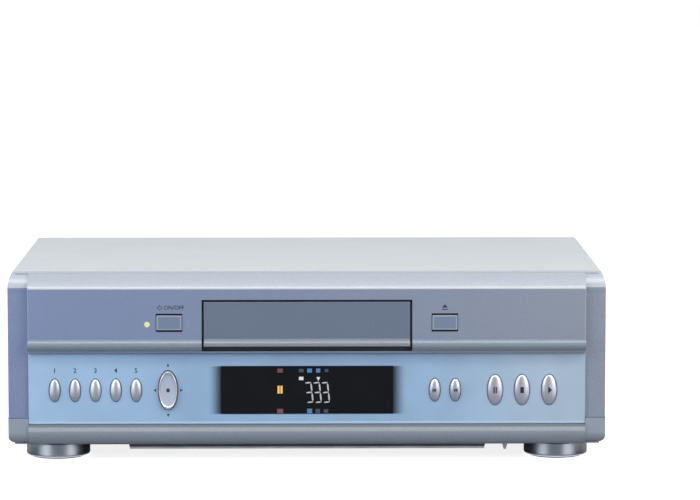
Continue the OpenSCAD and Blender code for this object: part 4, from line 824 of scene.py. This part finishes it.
    @staticmethod
    def duplicate(piece: Piece, name: str, move: Vector, turn: float = 0.0) -> Piece:
        """Copies a piece with its own mesh, and turns and moves the copy.

        Args:
            piece: The piece to copy.
            name: Name of the copy.
            move: How far the copy goes.
            turn: Its turn about the upright axis through the origin, in degrees.

        Returns:
            The copy.
        """
        Bench.take(piece)
        bpy.ops.object.duplicate(linked=False)
        twin = Bench.named(name)
        twin.rotation_euler = (0.0, 0.0, math.radians(turn))
        twin.location = move
        Bench.settle(twin)
        return twin

    @staticmethod
    def ring(name: str, radii: Pair, centre: Vector, depth: float, gap: float = 0.0) -> Piece:
        """Makes a flat ring that looks along y, open at the top where a gap is given.

        Args:
            name: Name of the piece.
            radii: Outer and inner radius.
            centre: Middle of its first face.
            depth: Its thickness, towards +y.
            gap: Half of the opening at the top, in degrees.

        Returns:
            The ring.
        """
        Bench.clear()
        bpy.ops.mesh.primitive_circle_add(vertices=48, radius=radii[0], fill_type="NOTHING")
        piece = Bench.named(name)
        piece.rotation_euler = FACING_FRONT
        piece.location = centre
        Bench.settle(piece)
        with Bench.edit(piece):
            bpy.ops.mesh.select_mode(type="VERT")
            bpy.ops.mesh.select_all(action="SELECT")
            bpy.ops.mesh.extrude_region_move()
            share = radii[1] / radii[0]
            bpy.ops.transform.resize(value=(share, 1.0, share), center_override=tuple(centre))
            if gap:
                limit = math.cos(math.radians(gap))
                Bench.pick_faces(piece, lambda f: (f.calc_center_median() - centre).normalized().z > limit)
                bpy.ops.mesh.delete(type="FACE")
            bpy.ops.mesh.select_all(action="SELECT")
            Bench.extrude((0.0, depth, 0.0))
        Bench.outward(piece)
        Bench.smooth(piece)
        return piece

    @staticmethod
    def numeral(name: str, text: str, centre: Vector, height: float) -> Piece:
        """Makes a printed numeral or switch word that faces the front.

        Args:
            name: Name of the piece.
            text: What is printed.
            centre: Its middle.
            height: Its height.

        Returns:
            The print as a mesh.
        """
        Bench.clear()
        bpy.ops.object.text_add()
        bpy.context.object.data.body = text
        bpy.context.object.data.offset = 0.012
        bpy.ops.object.convert(target="MESH")
        piece = Bench.named(name)
        bpy.ops.object.origin_set(type="ORIGIN_GEOMETRY", center="BOUNDS")
        scale = height / piece.dimensions.y
        piece.scale = (scale, scale, scale)
        piece.rotation_euler = FACING_FRONT
        piece.location = centre
        Bench.settle(piece)
        Bench.modify(piece, "SOLIDIFY", thickness=0.06 * MM, offset=0.0)
        return piece

    @staticmethod
    def lay_on(piece: Piece, carrier: Piece) -> None:
        """Presses a flat print onto the crowned front of a key.

        Args:
            piece: The print, a flat sheet in front of the key.
            carrier: The key.
        """
        with Bench.edit(piece):
            bpy.ops.mesh.quads_convert_to_tris()
            bpy.ops.mesh.subdivide(number_cuts=3)
        Bench.modify(piece, "SHRINKWRAP", target=carrier, wrap_method="PROJECT", wrap_mode="ABOVE_SURFACE",
                     use_project_y=True, use_positive_direction=True, offset=0.02 * MM)
        Bench.modify(piece, "SOLIDIFY", thickness=0.05 * MM, offset=0.0)


@dataclass(frozen=True)
class RoundedNode:
    """A solid that is copied with rounded edges: the copy's name, edge in millimetres and steps."""

    node: str
    name: str
    edge: float
    segments: int = 2

    def build(self) -> None:
        """Makes the copy, which stands for the solid."""
        source = bpy.data.objects[self.node]
        piece = bpy.data.objects.new(self.name, source.data.copy())
        piece.data.name = self.name
        bpy.context.scene.collection.objects.link(piece)
        with Bench.edit(piece):
            bpy.ops.mesh.remove_doubles(threshold=0.004 * MM)
            bpy.ops.mesh.dissolve_limited(angle_limit=math.radians(0.6))
        Bench.modify(piece, "BEVEL", width=self.edge * MM, segments=self.segments, limit_method="ANGLE",
                     angle_limit=math.radians(35), use_clamp_overlap=False, miter_outer="MITER_ARC")
        Bench.smooth(piece, 40.0)
        Bench.modify(piece, "WEIGHTED_NORMAL", keep_sharp=True)
        NODE_FINISH[self.node].fit(piece, source["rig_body"])
        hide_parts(self.node)


@dataclass
class Studio:
    """Camera, floor, light and the flags that metal parts mirror."""

    lens: float = 178.3
    stand: Triple = (0.0, -2.60119, 0.4065)
    pitch: float = 5.86
    yaw: float = 0.716
    box_stand: Triple = (1.27, -0.97, 0.82)
    box_size: Pair = (1.15, 1.3)
    box_power: float = 14.4
    fill: float = 0.36
    floor_glow: float = 0.85

    def build(self) -> None:
        """Sets up everything round the object."""
        self.camera()
        self.floor()
        self.world()
        self.lamp("strip_lamp", (0.0, -0.85, 1.5), (0.0, -0.1, 0.05), (2.6, 0.3), 10.0)
        x, y, z = self.box_stand
        for side, name, tint in (
            (-1, "left_softbox", Tone(229, 242, 255)),
            (1, "right_softbox", Tone(255, 255, 255)),
        ):
            self.lamp(name, (side * x, y, z), (side * 0.1, 0.0, 0.08), self.box_size, self.box_power, tint)
        self.flag("floor_flag", (0.0, -1.15, 0.002), (0.0, 0.0, 0.0), (0.62, 2.5), 0.2)
        self.flag("front_flag", (0.0, -3.3, 1.2), (90.0, 0.0, 0.0), (3.0, 2.4), 0.6)
        for side in (-1, 1):
            turn = (90.0, 0.0, side * 90.0)
            self.flag(f"side_flag_{side}", (side * 2.7, -0.2, 1.2), turn, (3.0, 2.4), 0.06)

    def camera(self) -> None:
        """Places the camera where the photograph was taken from."""
        data = bpy.data.cameras.new("front_camera")
        data.lens = self.lens
        data.sensor_fit = "HORIZONTAL"
        data.sensor_width = 36.0
        data.clip_end = 50.0
        camera = bpy.data.objects.new("front_camera", data)
        camera.location = self.stand
        camera.rotation_euler = (math.radians(90 - self.pitch), 0.0, math.radians(-self.yaw))
        bpy.context.scene.collection.objects.link(camera)
        bpy.context.scene.camera = camera

    @staticmethod
    def seen(tree: Tree) -> Socket:
        """Gives one for what the camera, mirrors and glass see, and zero for all other rays.

        Args:
            tree: Tree that the nodes go into.

        Returns:
            The socket.
        """
        path = tree.nodes.new("ShaderNodeLightPath").outputs
        first = tree.math("MAXIMUM", path["Is Camera Ray"], path["Is Glossy Ray"])
        return tree.math("MAXIMUM", first, path["Is Transmission Ray"])

    def floor(self) -> None:
        """Lays a plain white floor that keeps the object's shadow."""
        Bench.clear()
        bpy.ops.mesh.primitive_plane_add(size=16.0, location=(0.0, 0.0, 0.0))
        floor = Bench.named("studio_floor")
        tree = Tree(bpy.data.materials.new("floor_white"))
        tree.set(Base_Color=(0.42, 0.42, 0.42, 1.0), Roughness=0.9, Emission_Color=WHITE_LIGHT)
        tree.set(Emission_Strength=tree.math("MULTIPLY", self.seen(tree), self.floor_glow))
        floor.data.materials.append(tree.owner)

    def world(self) -> None:
        """Surrounds the set with even white light."""
        world = bpy.data.worlds.new("studio_world")
        tree = Tree(world, "ShaderNodeBackground", "ShaderNodeOutputWorld")
        tree.set(Color=WHITE_LIGHT, Strength=tree.span(self.seen(tree), (0.0, 1.0), (self.fill, 1.0)))
        bpy.context.scene.world = world

    @staticmethod
    def lamp(name: str, stand: Triple, aim: Triple, size: Pair, power: float,
             tint: Tone = Tone(255, 255, 255)) -> None:
        """Hangs one soft lamp.

        Args:
            name: Name of the lamp.
            stand: Where it hangs.
            aim: What it points at.
            size: Width and height of its face.
            power: Power in watts.
            tint: Colour of its light.
        """
        data = bpy.data.lights.new(name, "AREA")
        data.shape = "RECTANGLE"
        data.size, data.size_y = size
        data.energy = power
        data.color = tint.linear()[:3]
        lamp = bpy.data.objects.new(name, data)
        lamp.location = stand
        lamp.rotation_euler = (Vector(aim) - Vector(stand)).to_track_quat("-Z", "Y").to_euler()
        bpy.context.scene.collection.objects.link(lamp)

    @staticmethod
    def flag(name: str, stand: Triple, turn: Triple, size: Pair, level: float) -> None:
        """Sets up a grey cloth that only mirrors see.

        Args:
            name: Name of the cloth.
            stand: Its middle.
            turn: Its turn about each axis in degrees.
            size: Its width and height.
            level: How bright it is, where one is white.
        """
        Bench.clear()
        bpy.ops.mesh.primitive_plane_add(size=1.0, location=stand)
        flag = Bench.named(name)
        flag.scale = (size[0], size[1], 1.0)
        flag.rotation_euler = tuple(math.radians(angle) for angle in turn)
        tree = Tree(bpy.data.materials.new(name + "_cloth"))
        tree.set(Base_Color=(level, level, level * 1.05, 1.0), Roughness=0.95)
        flag.data.materials.append(tree.owner)
        flag.visible_camera = False
        flag.visible_diffuse = False
        flag.visible_shadow = False
        flag.visible_transmission = False


@dataclass
class DustSeal:
    """Dark strips behind the tray's opening, which stand in for the shade in the gap, in millimetres.

    Outside and inside are each a half width, a lower edge and an upper edge.
    """

    y: Pair = (-127.95, -126.2)
    outer: Triple = (79.0, 79.4, 119.0)
    inner: Triple = (73.4, 83.0, 114.6)

    def build(self) -> None:
        """Fits the dark strips one by one."""
        out_x, out_low, out_high = self.outer
        in_x, in_low, in_high = self.inner
        side_x, side_z, side_high = (in_x + out_x) / 2, (in_low + in_high) / 2, in_high - in_low
        strips = (
            (0.0, (in_high + out_high) / 2, 2 * out_x, out_high - in_high),
            (0.0, (out_low + in_low) / 2, 2 * out_x, in_low - out_low),
            (-side_x, side_z, out_x - in_x, side_high),
            (side_x, side_z, out_x - in_x, side_high),
        )
        for number, (x, z, width, height) in enumerate(strips, 1):
            middle = Vector((x, sum(self.y) / 2, z)) * MM
            size = Vector((width, self.y[1] - self.y[0], height)) * MM
            # Painted shade: dark strips where the gap holds only shade.
            Finishes.DARK.fit(Bench.slab(f"dust_seal_{number}", middle, size, 0.2 * MM))


class Outline(Enum):
    """Regular outlines that signs are put together from: corners and turn in degrees."""

    BAR = (4, 45.0)
    CELL = (6, 0.0)
    DOT = (24, 0.0)
    UP = (3, 0.0)
    LEFT = (3, 90.0)
    DOWN = (3, 180.0)
    RIGHT = (3, -90.0)


@dataclass(frozen=True)
class Stroke:
    """One shape of a sign: outline, place and size in millimetres from the sign's middle."""

    outline: Outline
    x: float
    z: float
    width: float
    height: float

    def make(self, name: str, middle: Vector, thickness: float = PRINT_THICKNESS) -> Piece:
        """Makes the shape as a thin print that faces the front.

        Args:
            name: Name of the piece.
            middle: Middle of the sign.
            thickness: Thickness of the print towards the back, or zero for a bare sheet.

        Returns:
            The shape.
        """
        corners, turn = self.outline.value
        Bench.clear()
        bpy.ops.mesh.primitive_circle_add(vertices=corners, radius=0.5, fill_type="NGON")
        piece = Bench.named(name)
        piece.rotation_euler = (0.0, 0.0, math.radians(turn))
        Bench.settle(piece)
        width, height, _ = piece.dimensions
        piece.scale = (self.width * MM / width, self.height * MM / height, 1.0)
        piece.rotation_euler = FACING_FRONT
        piece.location = middle + Vector((self.x * MM, 0.0, self.z * MM))
        Bench.settle(piece)
        if thickness:
            with Bench.edit(piece):
                Bench.extrude((0.0, thickness, 0.0))
            Bench.outward(piece)
        return piece


class Sign(Enum):
    """Signs on the keys, stroke by stroke."""

    PLAIN = ()
    PAUSE = (Stroke(Outline.BAR, -0.8, 0.0, 0.9, 4.6), Stroke(Outline.BAR, 0.8, 0.0, 0.9, 4.6))
    STOP = (Stroke(Outline.BAR, 0.0, 0.0, 2.6, 4.4),)
    PLAY = (Stroke(Outline.RIGHT, 0.15, 0.0, 2.8, 5.2),)
    SKIP_BACK = (
        Stroke(Outline.BAR, -1.45, 0.0, 0.45, 3.0),
        Stroke(Outline.LEFT, -0.6, 0.0, 1.25, 3.0),
        Stroke(Outline.LEFT, 0.65, 0.0, 1.25, 3.0),
    )
    SKIP_NEXT = (
        Stroke(Outline.RIGHT, -0.65, 0.0, 1.25, 3.0),
        Stroke(Outline.RIGHT, 0.6, 0.0, 1.25, 3.0),
        Stroke(Outline.BAR, 1.45, 0.0, 0.45, 3.0),
    )


KEY_DOME: tuple[Pair, ...] = (
    (1.0, 5.2), (1.0, -0.1), (0.994, -0.36), (0.976, -0.62), (0.944, -0.88), (0.9, -1.12), (0.84, -1.36),
    (0.76, -1.6), (0.66, -1.83), (0.54, -2.04), (0.4, -2.21), (0.24, -2.34), (0.1, -2.39), (0.02, -2.4),
)


@dataclass(frozen=True)
class KeyShape:
    """Form of an oval key: half width and height in millimetres, radius shares of plunger and flange."""

    half_width: float
    half_height: float
    plunger: float
    flange: float

    def section(self) -> tuple[Pair, ...]:
        """Gives radius shares and millimetres behind the acrylic's face, from the plunger to the crown."""
        foot = ((self.plunger, 7.6), (self.plunger, 6.6), (self.flange, 6.6), (self.flange, 5.2))
        return foot + KEY_DOME


class KeyShapes(Enum):
    """The two sizes of oval key."""

    SMALL = KeyShape(3.9, 8.2, 0.36, 1.17)
    LARGE = KeyShape(5.45, 11.0, 0.26, 1.12)


@dataclass(frozen=True)
class OvalKey:
    """One oval key: its solid, its form, its place across the front and its sign."""

    node: str
    shape: KeyShapes
    x: float
    sign: Sign = Sign.PLAIN


OVAL_KEYS: tuple[OvalKey, ...] = (
    OvalKey("function_key_1", KeyShapes.SMALL, -181.5),
    OvalKey("function_key_2", KeyShapes.SMALL, -166.9),
    OvalKey("function_key_3", KeyShapes.SMALL, -152.2),
    OvalKey("function_key_4", KeyShapes.SMALL, -137.6),
    OvalKey("function_key_5", KeyShapes.SMALL, -123.0),
    OvalKey("skip_back_key", KeyShapes.SMALL, 91.9, Sign.SKIP_BACK),
    OvalKey("skip_next_key", KeyShapes.SMALL, 106.7, Sign.SKIP_NEXT),
    OvalKey("pause_key", KeyShapes.LARGE, 135.4, Sign.PAUSE),
    OvalKey("stop_key", KeyShapes.LARGE, 154.8, Sign.STOP),
    OvalKey("play_key", KeyShapes.LARGE, 174.4, Sign.PLAY),
)


@dataclass
class Keys:
    """Oval keys and direction pad."""

    pad_half: Pair = (6.7, 14.0)
    pad_section: tuple[Pair, ...] = (
        (0.14, 11.0), (0.14, 7.2), (1.1, 7.2), (1.1, 6.0), (1.0, 6.0), (1.0, -1.0), (0.994, -1.45),
        (0.98, -1.9), (0.955, -2.28), (0.925, -2.4), (0.895, -2.32), (0.865, -2.1), (0.835, -1.8),
        (0.815, -1.55), (0.8, -0.5),
    )
    dish_section: tuple[Pair, ...] = (
        (0.81, -0.6), (0.83, -1.6), (0.77, -1.42), (0.66, -1.22), (0.5, -1.06), (0.33, -0.96), (0.16, -0.91),
        (0.03, -0.9),
    )

    def build(self) -> None:
        """Builds every key."""
        first: dict[KeyShapes, tuple[Piece, float]] = {}
        for key in OVAL_KEYS:
            name = key.node + "_cap"
            if key.shape in first:
                twin, x = first[key.shape]
                piece = Bench.duplicate(twin, name, Vector(((key.x - x) * MM, 0.0, 0.0)))
            else:
                form = key.shape.value
                radii = (form.half_width, form.half_height)
                piece = Bench.turned(name, form.section(), radii, self.middle(key.x))
                first[key.shape] = (piece, key.x)
            self.place(piece, key.node, Finishes.KEY)
            for number, stroke in enumerate(key.sign.value, 1):
                self.print_on(piece, stroke, f"{key.node}_sign_{number}", key.node, key.x, Finishes.KEY_INK)
        self.pad()

    @staticmethod
    def middle(x: float) -> Vector:
        """Gives the place on the acrylic's face behind the middle of a key."""
        return Vector((x * MM, FACE_Y * MM, ROW_Z * MM))

    @staticmethod
    def place(piece: Piece, node: str, finish: Finishes) -> None:
        """Lets a piece stand for a key's solid and move with it."""
        finish.fit(piece, node)
        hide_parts(node)

    def print_on(self, carrier: Piece, stroke: Stroke, name: str, body: str, x: float,
                 ink: Finishes) -> None:
        """Prints a shape onto a key.

        Args:
            carrier: The key's piece.
            stroke: The shape.
            name: Name of the print.
            body: What the print moves with.
            x: Middle of the key in millimetres.
            ink: Finish of the print.
        """
        front = self.middle(x) - Vector((0.0, SIGN_LIFT, 0.0))
        mark = stroke.make(name, front, thickness=0.0)
        Bench.lay_on(mark, carrier)
        ink.fit(mark, body)

    def pad(self) -> None:
        """Turns the direction pad's bright rim and its hollow middle, and prints the dot in it."""
        for name, section, finish in (
            ("nav_pad_rim", self.pad_section, Finishes.PAD_RIM),
            ("nav_pad_dish", self.dish_section, Finishes.PAD_DISH),
        ):
            piece = Bench.turned(name, section, self.pad_half, self.middle(PAD_X), corners=80)
            self.place(piece, "nav_pad", finish)
        dot = Stroke(Outline.DOT, 0.0, 0.0, 2.6, 3.0)
        self.print_on(piece, dot, "nav_pad_dot", "nav_pad", PAD_X, Finishes.INK)


# Amber bars and bright marks are lit by the tube; the red, blue and dim marks at the top and bottom edges
# are printed, and their glow is painted light.
WINDOW_MARKS: tuple[tuple[Finishes, Stroke], ...] = (
    (Finishes.AMBER, Stroke(Outline.BAR, -20.5, 51.7, 1.6, 5.6)),
    (Finishes.AMBER, Stroke(Outline.BAR, -18.4, 51.7, 1.6, 5.6)),
    (Finishes.RED_MARK, Stroke(Outline.BAR, -19.4, 65.5, 4.0, 2.9)),
    (Finishes.RED_MARK, Stroke(Outline.BAR, -19.4, 36.1, 4.4, 3.2)),
    (Finishes.DIM_MARK, Stroke(Outline.BAR, -4.2, 65.5, 3.4, 2.4)),
    (Finishes.BLUE_MARK, Stroke(Outline.BAR, 1.8, 65.5, 3.4, 2.9)),
    (Finishes.BLUE_MARK, Stroke(Outline.BAR, 8.0, 65.5, 3.0, 2.9)),
    (Finishes.DIM_MARK, Stroke(Outline.BAR, 14.0, 65.5, 2.6, 2.2)),
    (Finishes.BLUE_MARK, Stroke(Outline.BAR, 1.8, 36.1, 3.6, 3.4)),
    (Finishes.DIM_MARK, Stroke(Outline.BAR, 7.7, 36.1, 3.2, 3.0)),
    (Finishes.DIM_MARK, Stroke(Outline.BAR, 13.6, 36.1, 3.2, 2.6)),
    (Finishes.BRIGHT_MARK, Stroke(Outline.BAR, -4.2, 59.8, 3.2, 2.4)),
    (Finishes.BRIGHT_MARK, Stroke(Outline.DOWN, 8.1, 59.8, 2.8, 3.0)),
)


@dataclass
class ControlFace:
    """Marks in the window, lit ones and printed ones made to glow, and signs printed on the acrylic and the
    band.
    """

    digit_x: Triple = (1.5, 7.5, 13.4)
    digit_z: float = 49.6
    digit_size: Pair = (4.0, 14.2)
    digit_bar: float = 1.1
    lean: float = 6.0
    label_z: float = 65.8
    band_label_z: float = 111.6
    pad_reach: Pair = (9.3, 18.0)

    def build(self) -> None:
        """Builds the marks and the signs."""
        for number, (finish, stroke) in enumerate(WINDOW_MARKS, 1):
            finish.fit(stroke.make(f"window_mark_{number}", self.on_face(0.0, 0.0)))
        for number, x in enumerate(self.digit_x, 1):
            self.digit(f"digit_{number}", x)
        self.labels()
        self.band_labels()

    @staticmethod
    def on_face(x: float, z: float) -> Vector:
        """Gives a place just in front of the acrylic, from millimetres."""
        return Vector((x * MM, (FACE_Y - PRINT_LIFT) * MM, z * MM))

    def digit(self, name: str, x: float) -> None:
        """Lights the figure three from its seven-bar cell.

        Args:
            name: Name of the figure.
            x: Its middle in millimetres.
        """
        width, height = self.digit_size
        bar = self.digit_bar
        side = height / 2 - 0.4
        levels = [Stroke(Outline.CELL, 0.0, z, width, bar) for z in (height / 2, 0.0, -height / 2)]
        sides = [Stroke(Outline.CELL, width / 2, z, bar, side) for z in (height / 4, -height / 4)]
        middle = self.on_face(x, self.digit_z)
        pieces = [part.make(f"{name}_bar_{number}", middle) for number, part in enumerate(levels + sides, 1)]
        figure = Bench.join(pieces, name)
        with Bench.edit(figure):
            lean = math.radians(self.lean)
            bpy.ops.transform.rotate(value=lean, orient_axis="Y", center_override=tuple(middle))
        Finishes.DIGIT.fit(figure)

    def labels(self) -> None:
        """Prints the numerals over the small keys and the arrows round the pad."""
        for number, key in enumerate(OVAL_KEYS[:5], 1):
            place = self.on_face(key.x, self.label_z)
            Finishes.INK.fit(Bench.numeral(f"numeral_{number}", str(number), place, 3.4 * MM))
        reach_x, reach_z = self.pad_reach
        for name, outline, x, z in (
            ("arrow_up", Outline.UP, 0.0, reach_z),
            ("arrow_down", Outline.DOWN, 0.0, -reach_z),
            ("arrow_left", Outline.LEFT, -reach_x, 0.0),
            ("arrow_right", Outline.RIGHT, reach_x, 0.0),
        ):
            Finishes.INK.fit(Stroke(outline, x, z, 2.0, 2.4).make(name, self.on_face(PAD_X, ROW_Z)))

    def band_labels(self) -> None:
        """Prints the standby sign with its word and the open sign on the band."""
        y = (BAND_Y - PRINT_LIFT) * MM
        middle = Vector((-105.6 * MM, y, self.band_label_z * MM))
        arc = Bench.ring("standby_sign_arc", (1.7 * MM, 1.25 * MM), middle, PRINT_THICKNESS, gap=38.0)
        bar = Stroke(Outline.BAR, 0.0, 1.0, 0.46, 2.0).make("standby_sign_bar", middle)
        Finishes.INK.fit(Bench.join([arc, bar], "standby_sign"))
        word_place = middle + Vector((10.2 * MM, 0.0, 0.0))
        Finishes.INK.fit(Bench.numeral("on_off_sign", "ON/OFF", word_place, 2.9 * MM))
        middle = Vector((99.0 * MM, y, self.band_label_z * MM))
        arrow = Stroke(Outline.UP, 0.0, 0.6, 4.2, 2.6).make("open_sign_arrow", middle)
        line = Stroke(Outline.BAR, 0.0, -1.5, 4.2, 0.7).make("open_sign_line", middle)
        Finishes.INK.fit(Bench.join([arrow, line], "open_sign"))


@dataclass
class RearJacks:
    """Coloured rings on the collars of the phono jacks, column by column from the lowest jack."""

    collar_y: float = 128.25
    radii: Pair = (5.45, 4.3)
    thickness: float = 0.3
    rows: Triple = (34.3, 48.3, 62.3)
    columns: tuple[tuple[float, tuple[Finishes, ...]], ...] = (
        (104.0, (Finishes.JACK_RED, Finishes.JACK_BLUE, Finishes.JACK_GREEN)),
        (126.0, (Finishes.JACK_RED, Finishes.JACK_WHITE, Finishes.JACK_YELLOW)),
        (148.0, (Finishes.JACK_ORANGE,)),
    )

    def build(self) -> None:
        """Makes the first ring and copies it to every other jack."""
        first: Piece | None = None
        start = Vector((self.columns[0][0], self.collar_y, self.rows[0])) * MM
        for column, (x, finishes) in enumerate(self.columns, 1):
            for row, finish in enumerate(finishes, 1):
                name = f"jack_ring_{column}_{row}"
                if first is None:
                    radii = (self.radii[0] * MM, self.radii[1] * MM)
                    ring = first = Bench.ring(name, radii, start, self.thickness * MM)
                else:
                    place = Vector((x, self.collar_y, self.rows[row - 1])) * MM
                    ring = Bench.duplicate(first, name, place - start)
                finish.fit(ring)


@dataclass
class ScrewHeads:
    """Cross recesses of the screws that show at the sides and the rear."""

    bar: Triple = (3.4, 0.12, 0.7)
    side_face: float = 214.8
    side_y: Pair = (-61.25, 81.75)
    side_z: float = 21.7
    lip_face: float = 129.75
    lip_x: Triple = (-180.0, 0.0, 180.0)
    lip_z: float = 131.0
    tab_face: float = 128.75
    tab_x: Pair = (-196.0, 196.0)
    tab_z: float = 19.7

    def places(self) -> list[tuple[Vector, float]]:
        """Gives the middle of every head's face in millimetres, and the turn of its cross in degrees."""
        faces = (-self.side_face, self.side_face)
        sides = [(Vector((x, y, self.side_z)), 90.0) for x in faces for y in self.side_y]
        lips = [(Vector((x, self.lip_face, self.lip_z)), 0.0) for x in self.lip_x]
        tabs = [(Vector((x, self.tab_face, self.tab_z)), 0.0) for x in self.tab_x]
        return sides + lips + tabs

    def build(self) -> None:
        """Makes one cross and copies it to every head."""
        width, depth, height = (size * MM for size in self.bar)
        middle = Vector((0.0, 0.0, 0.0))
        level = Bench.slab("cross_level", middle, (width, depth, height), 0.03 * MM)
        upright = Bench.slab("cross_upright", middle, (height, depth, width), 0.03 * MM)
        pattern = Bench.join([level, upright], "cross_pattern")
        for number, (place, turn) in enumerate(self.places(), 1):
            Finishes.RECESS.fit(Bench.duplicate(pattern, f"screw_cross_{number}", place * MM, turn))
        bpy.data.objects.remove(pattern)


def dress_nodes(frame: dict) -> None:
    """Gives every solid of the frame its finish.
    """
    for name, node in frame["nodes"].items():
        material = NODE_FINISH.get(name, Finishes.KEY).value.material()
        for index in range(len(node.data.materials)):
            node.data.materials[index] = material
        if not node.data.materials:
            node.data.materials.append(material)
        Bench.smooth(node, 30.0)


def main() -> None:
    """Builds the player and its set, piece by piece."""
    logging.basicConfig(level=logging.INFO)
    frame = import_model()
    bpy.context.scene.view_settings.view_transform = "Standard"
    Studio().build()
    dress_nodes(frame)
    for part in (
        RoundedNode("top_cover", "top_cover_sheet", 0.25),
        DustSeal(),
        RoundedNode("control_panel", "control_panel_sheet", 0.2),
        RoundedNode("display_window", "display_window_sheet", 0.2),
        ControlFace(),
        Keys(),
        RoundedNode("power_key", "power_key_cap", 0.4, 3),
        RoundedNode("open_key", "open_key_cap", 0.4, 3),
        RoundedNode("tray_fascia", "tray_front_cap", 0.35, 3),
        RoundedNode("disc_tray", "disc_tray_moulding", 0.25),
        RearJacks(),
        ScrewHeads(),
    ):
        part.build()
        LOG.info("%s built", type(part).__name__)


if __name__ == "__main__":
    main()
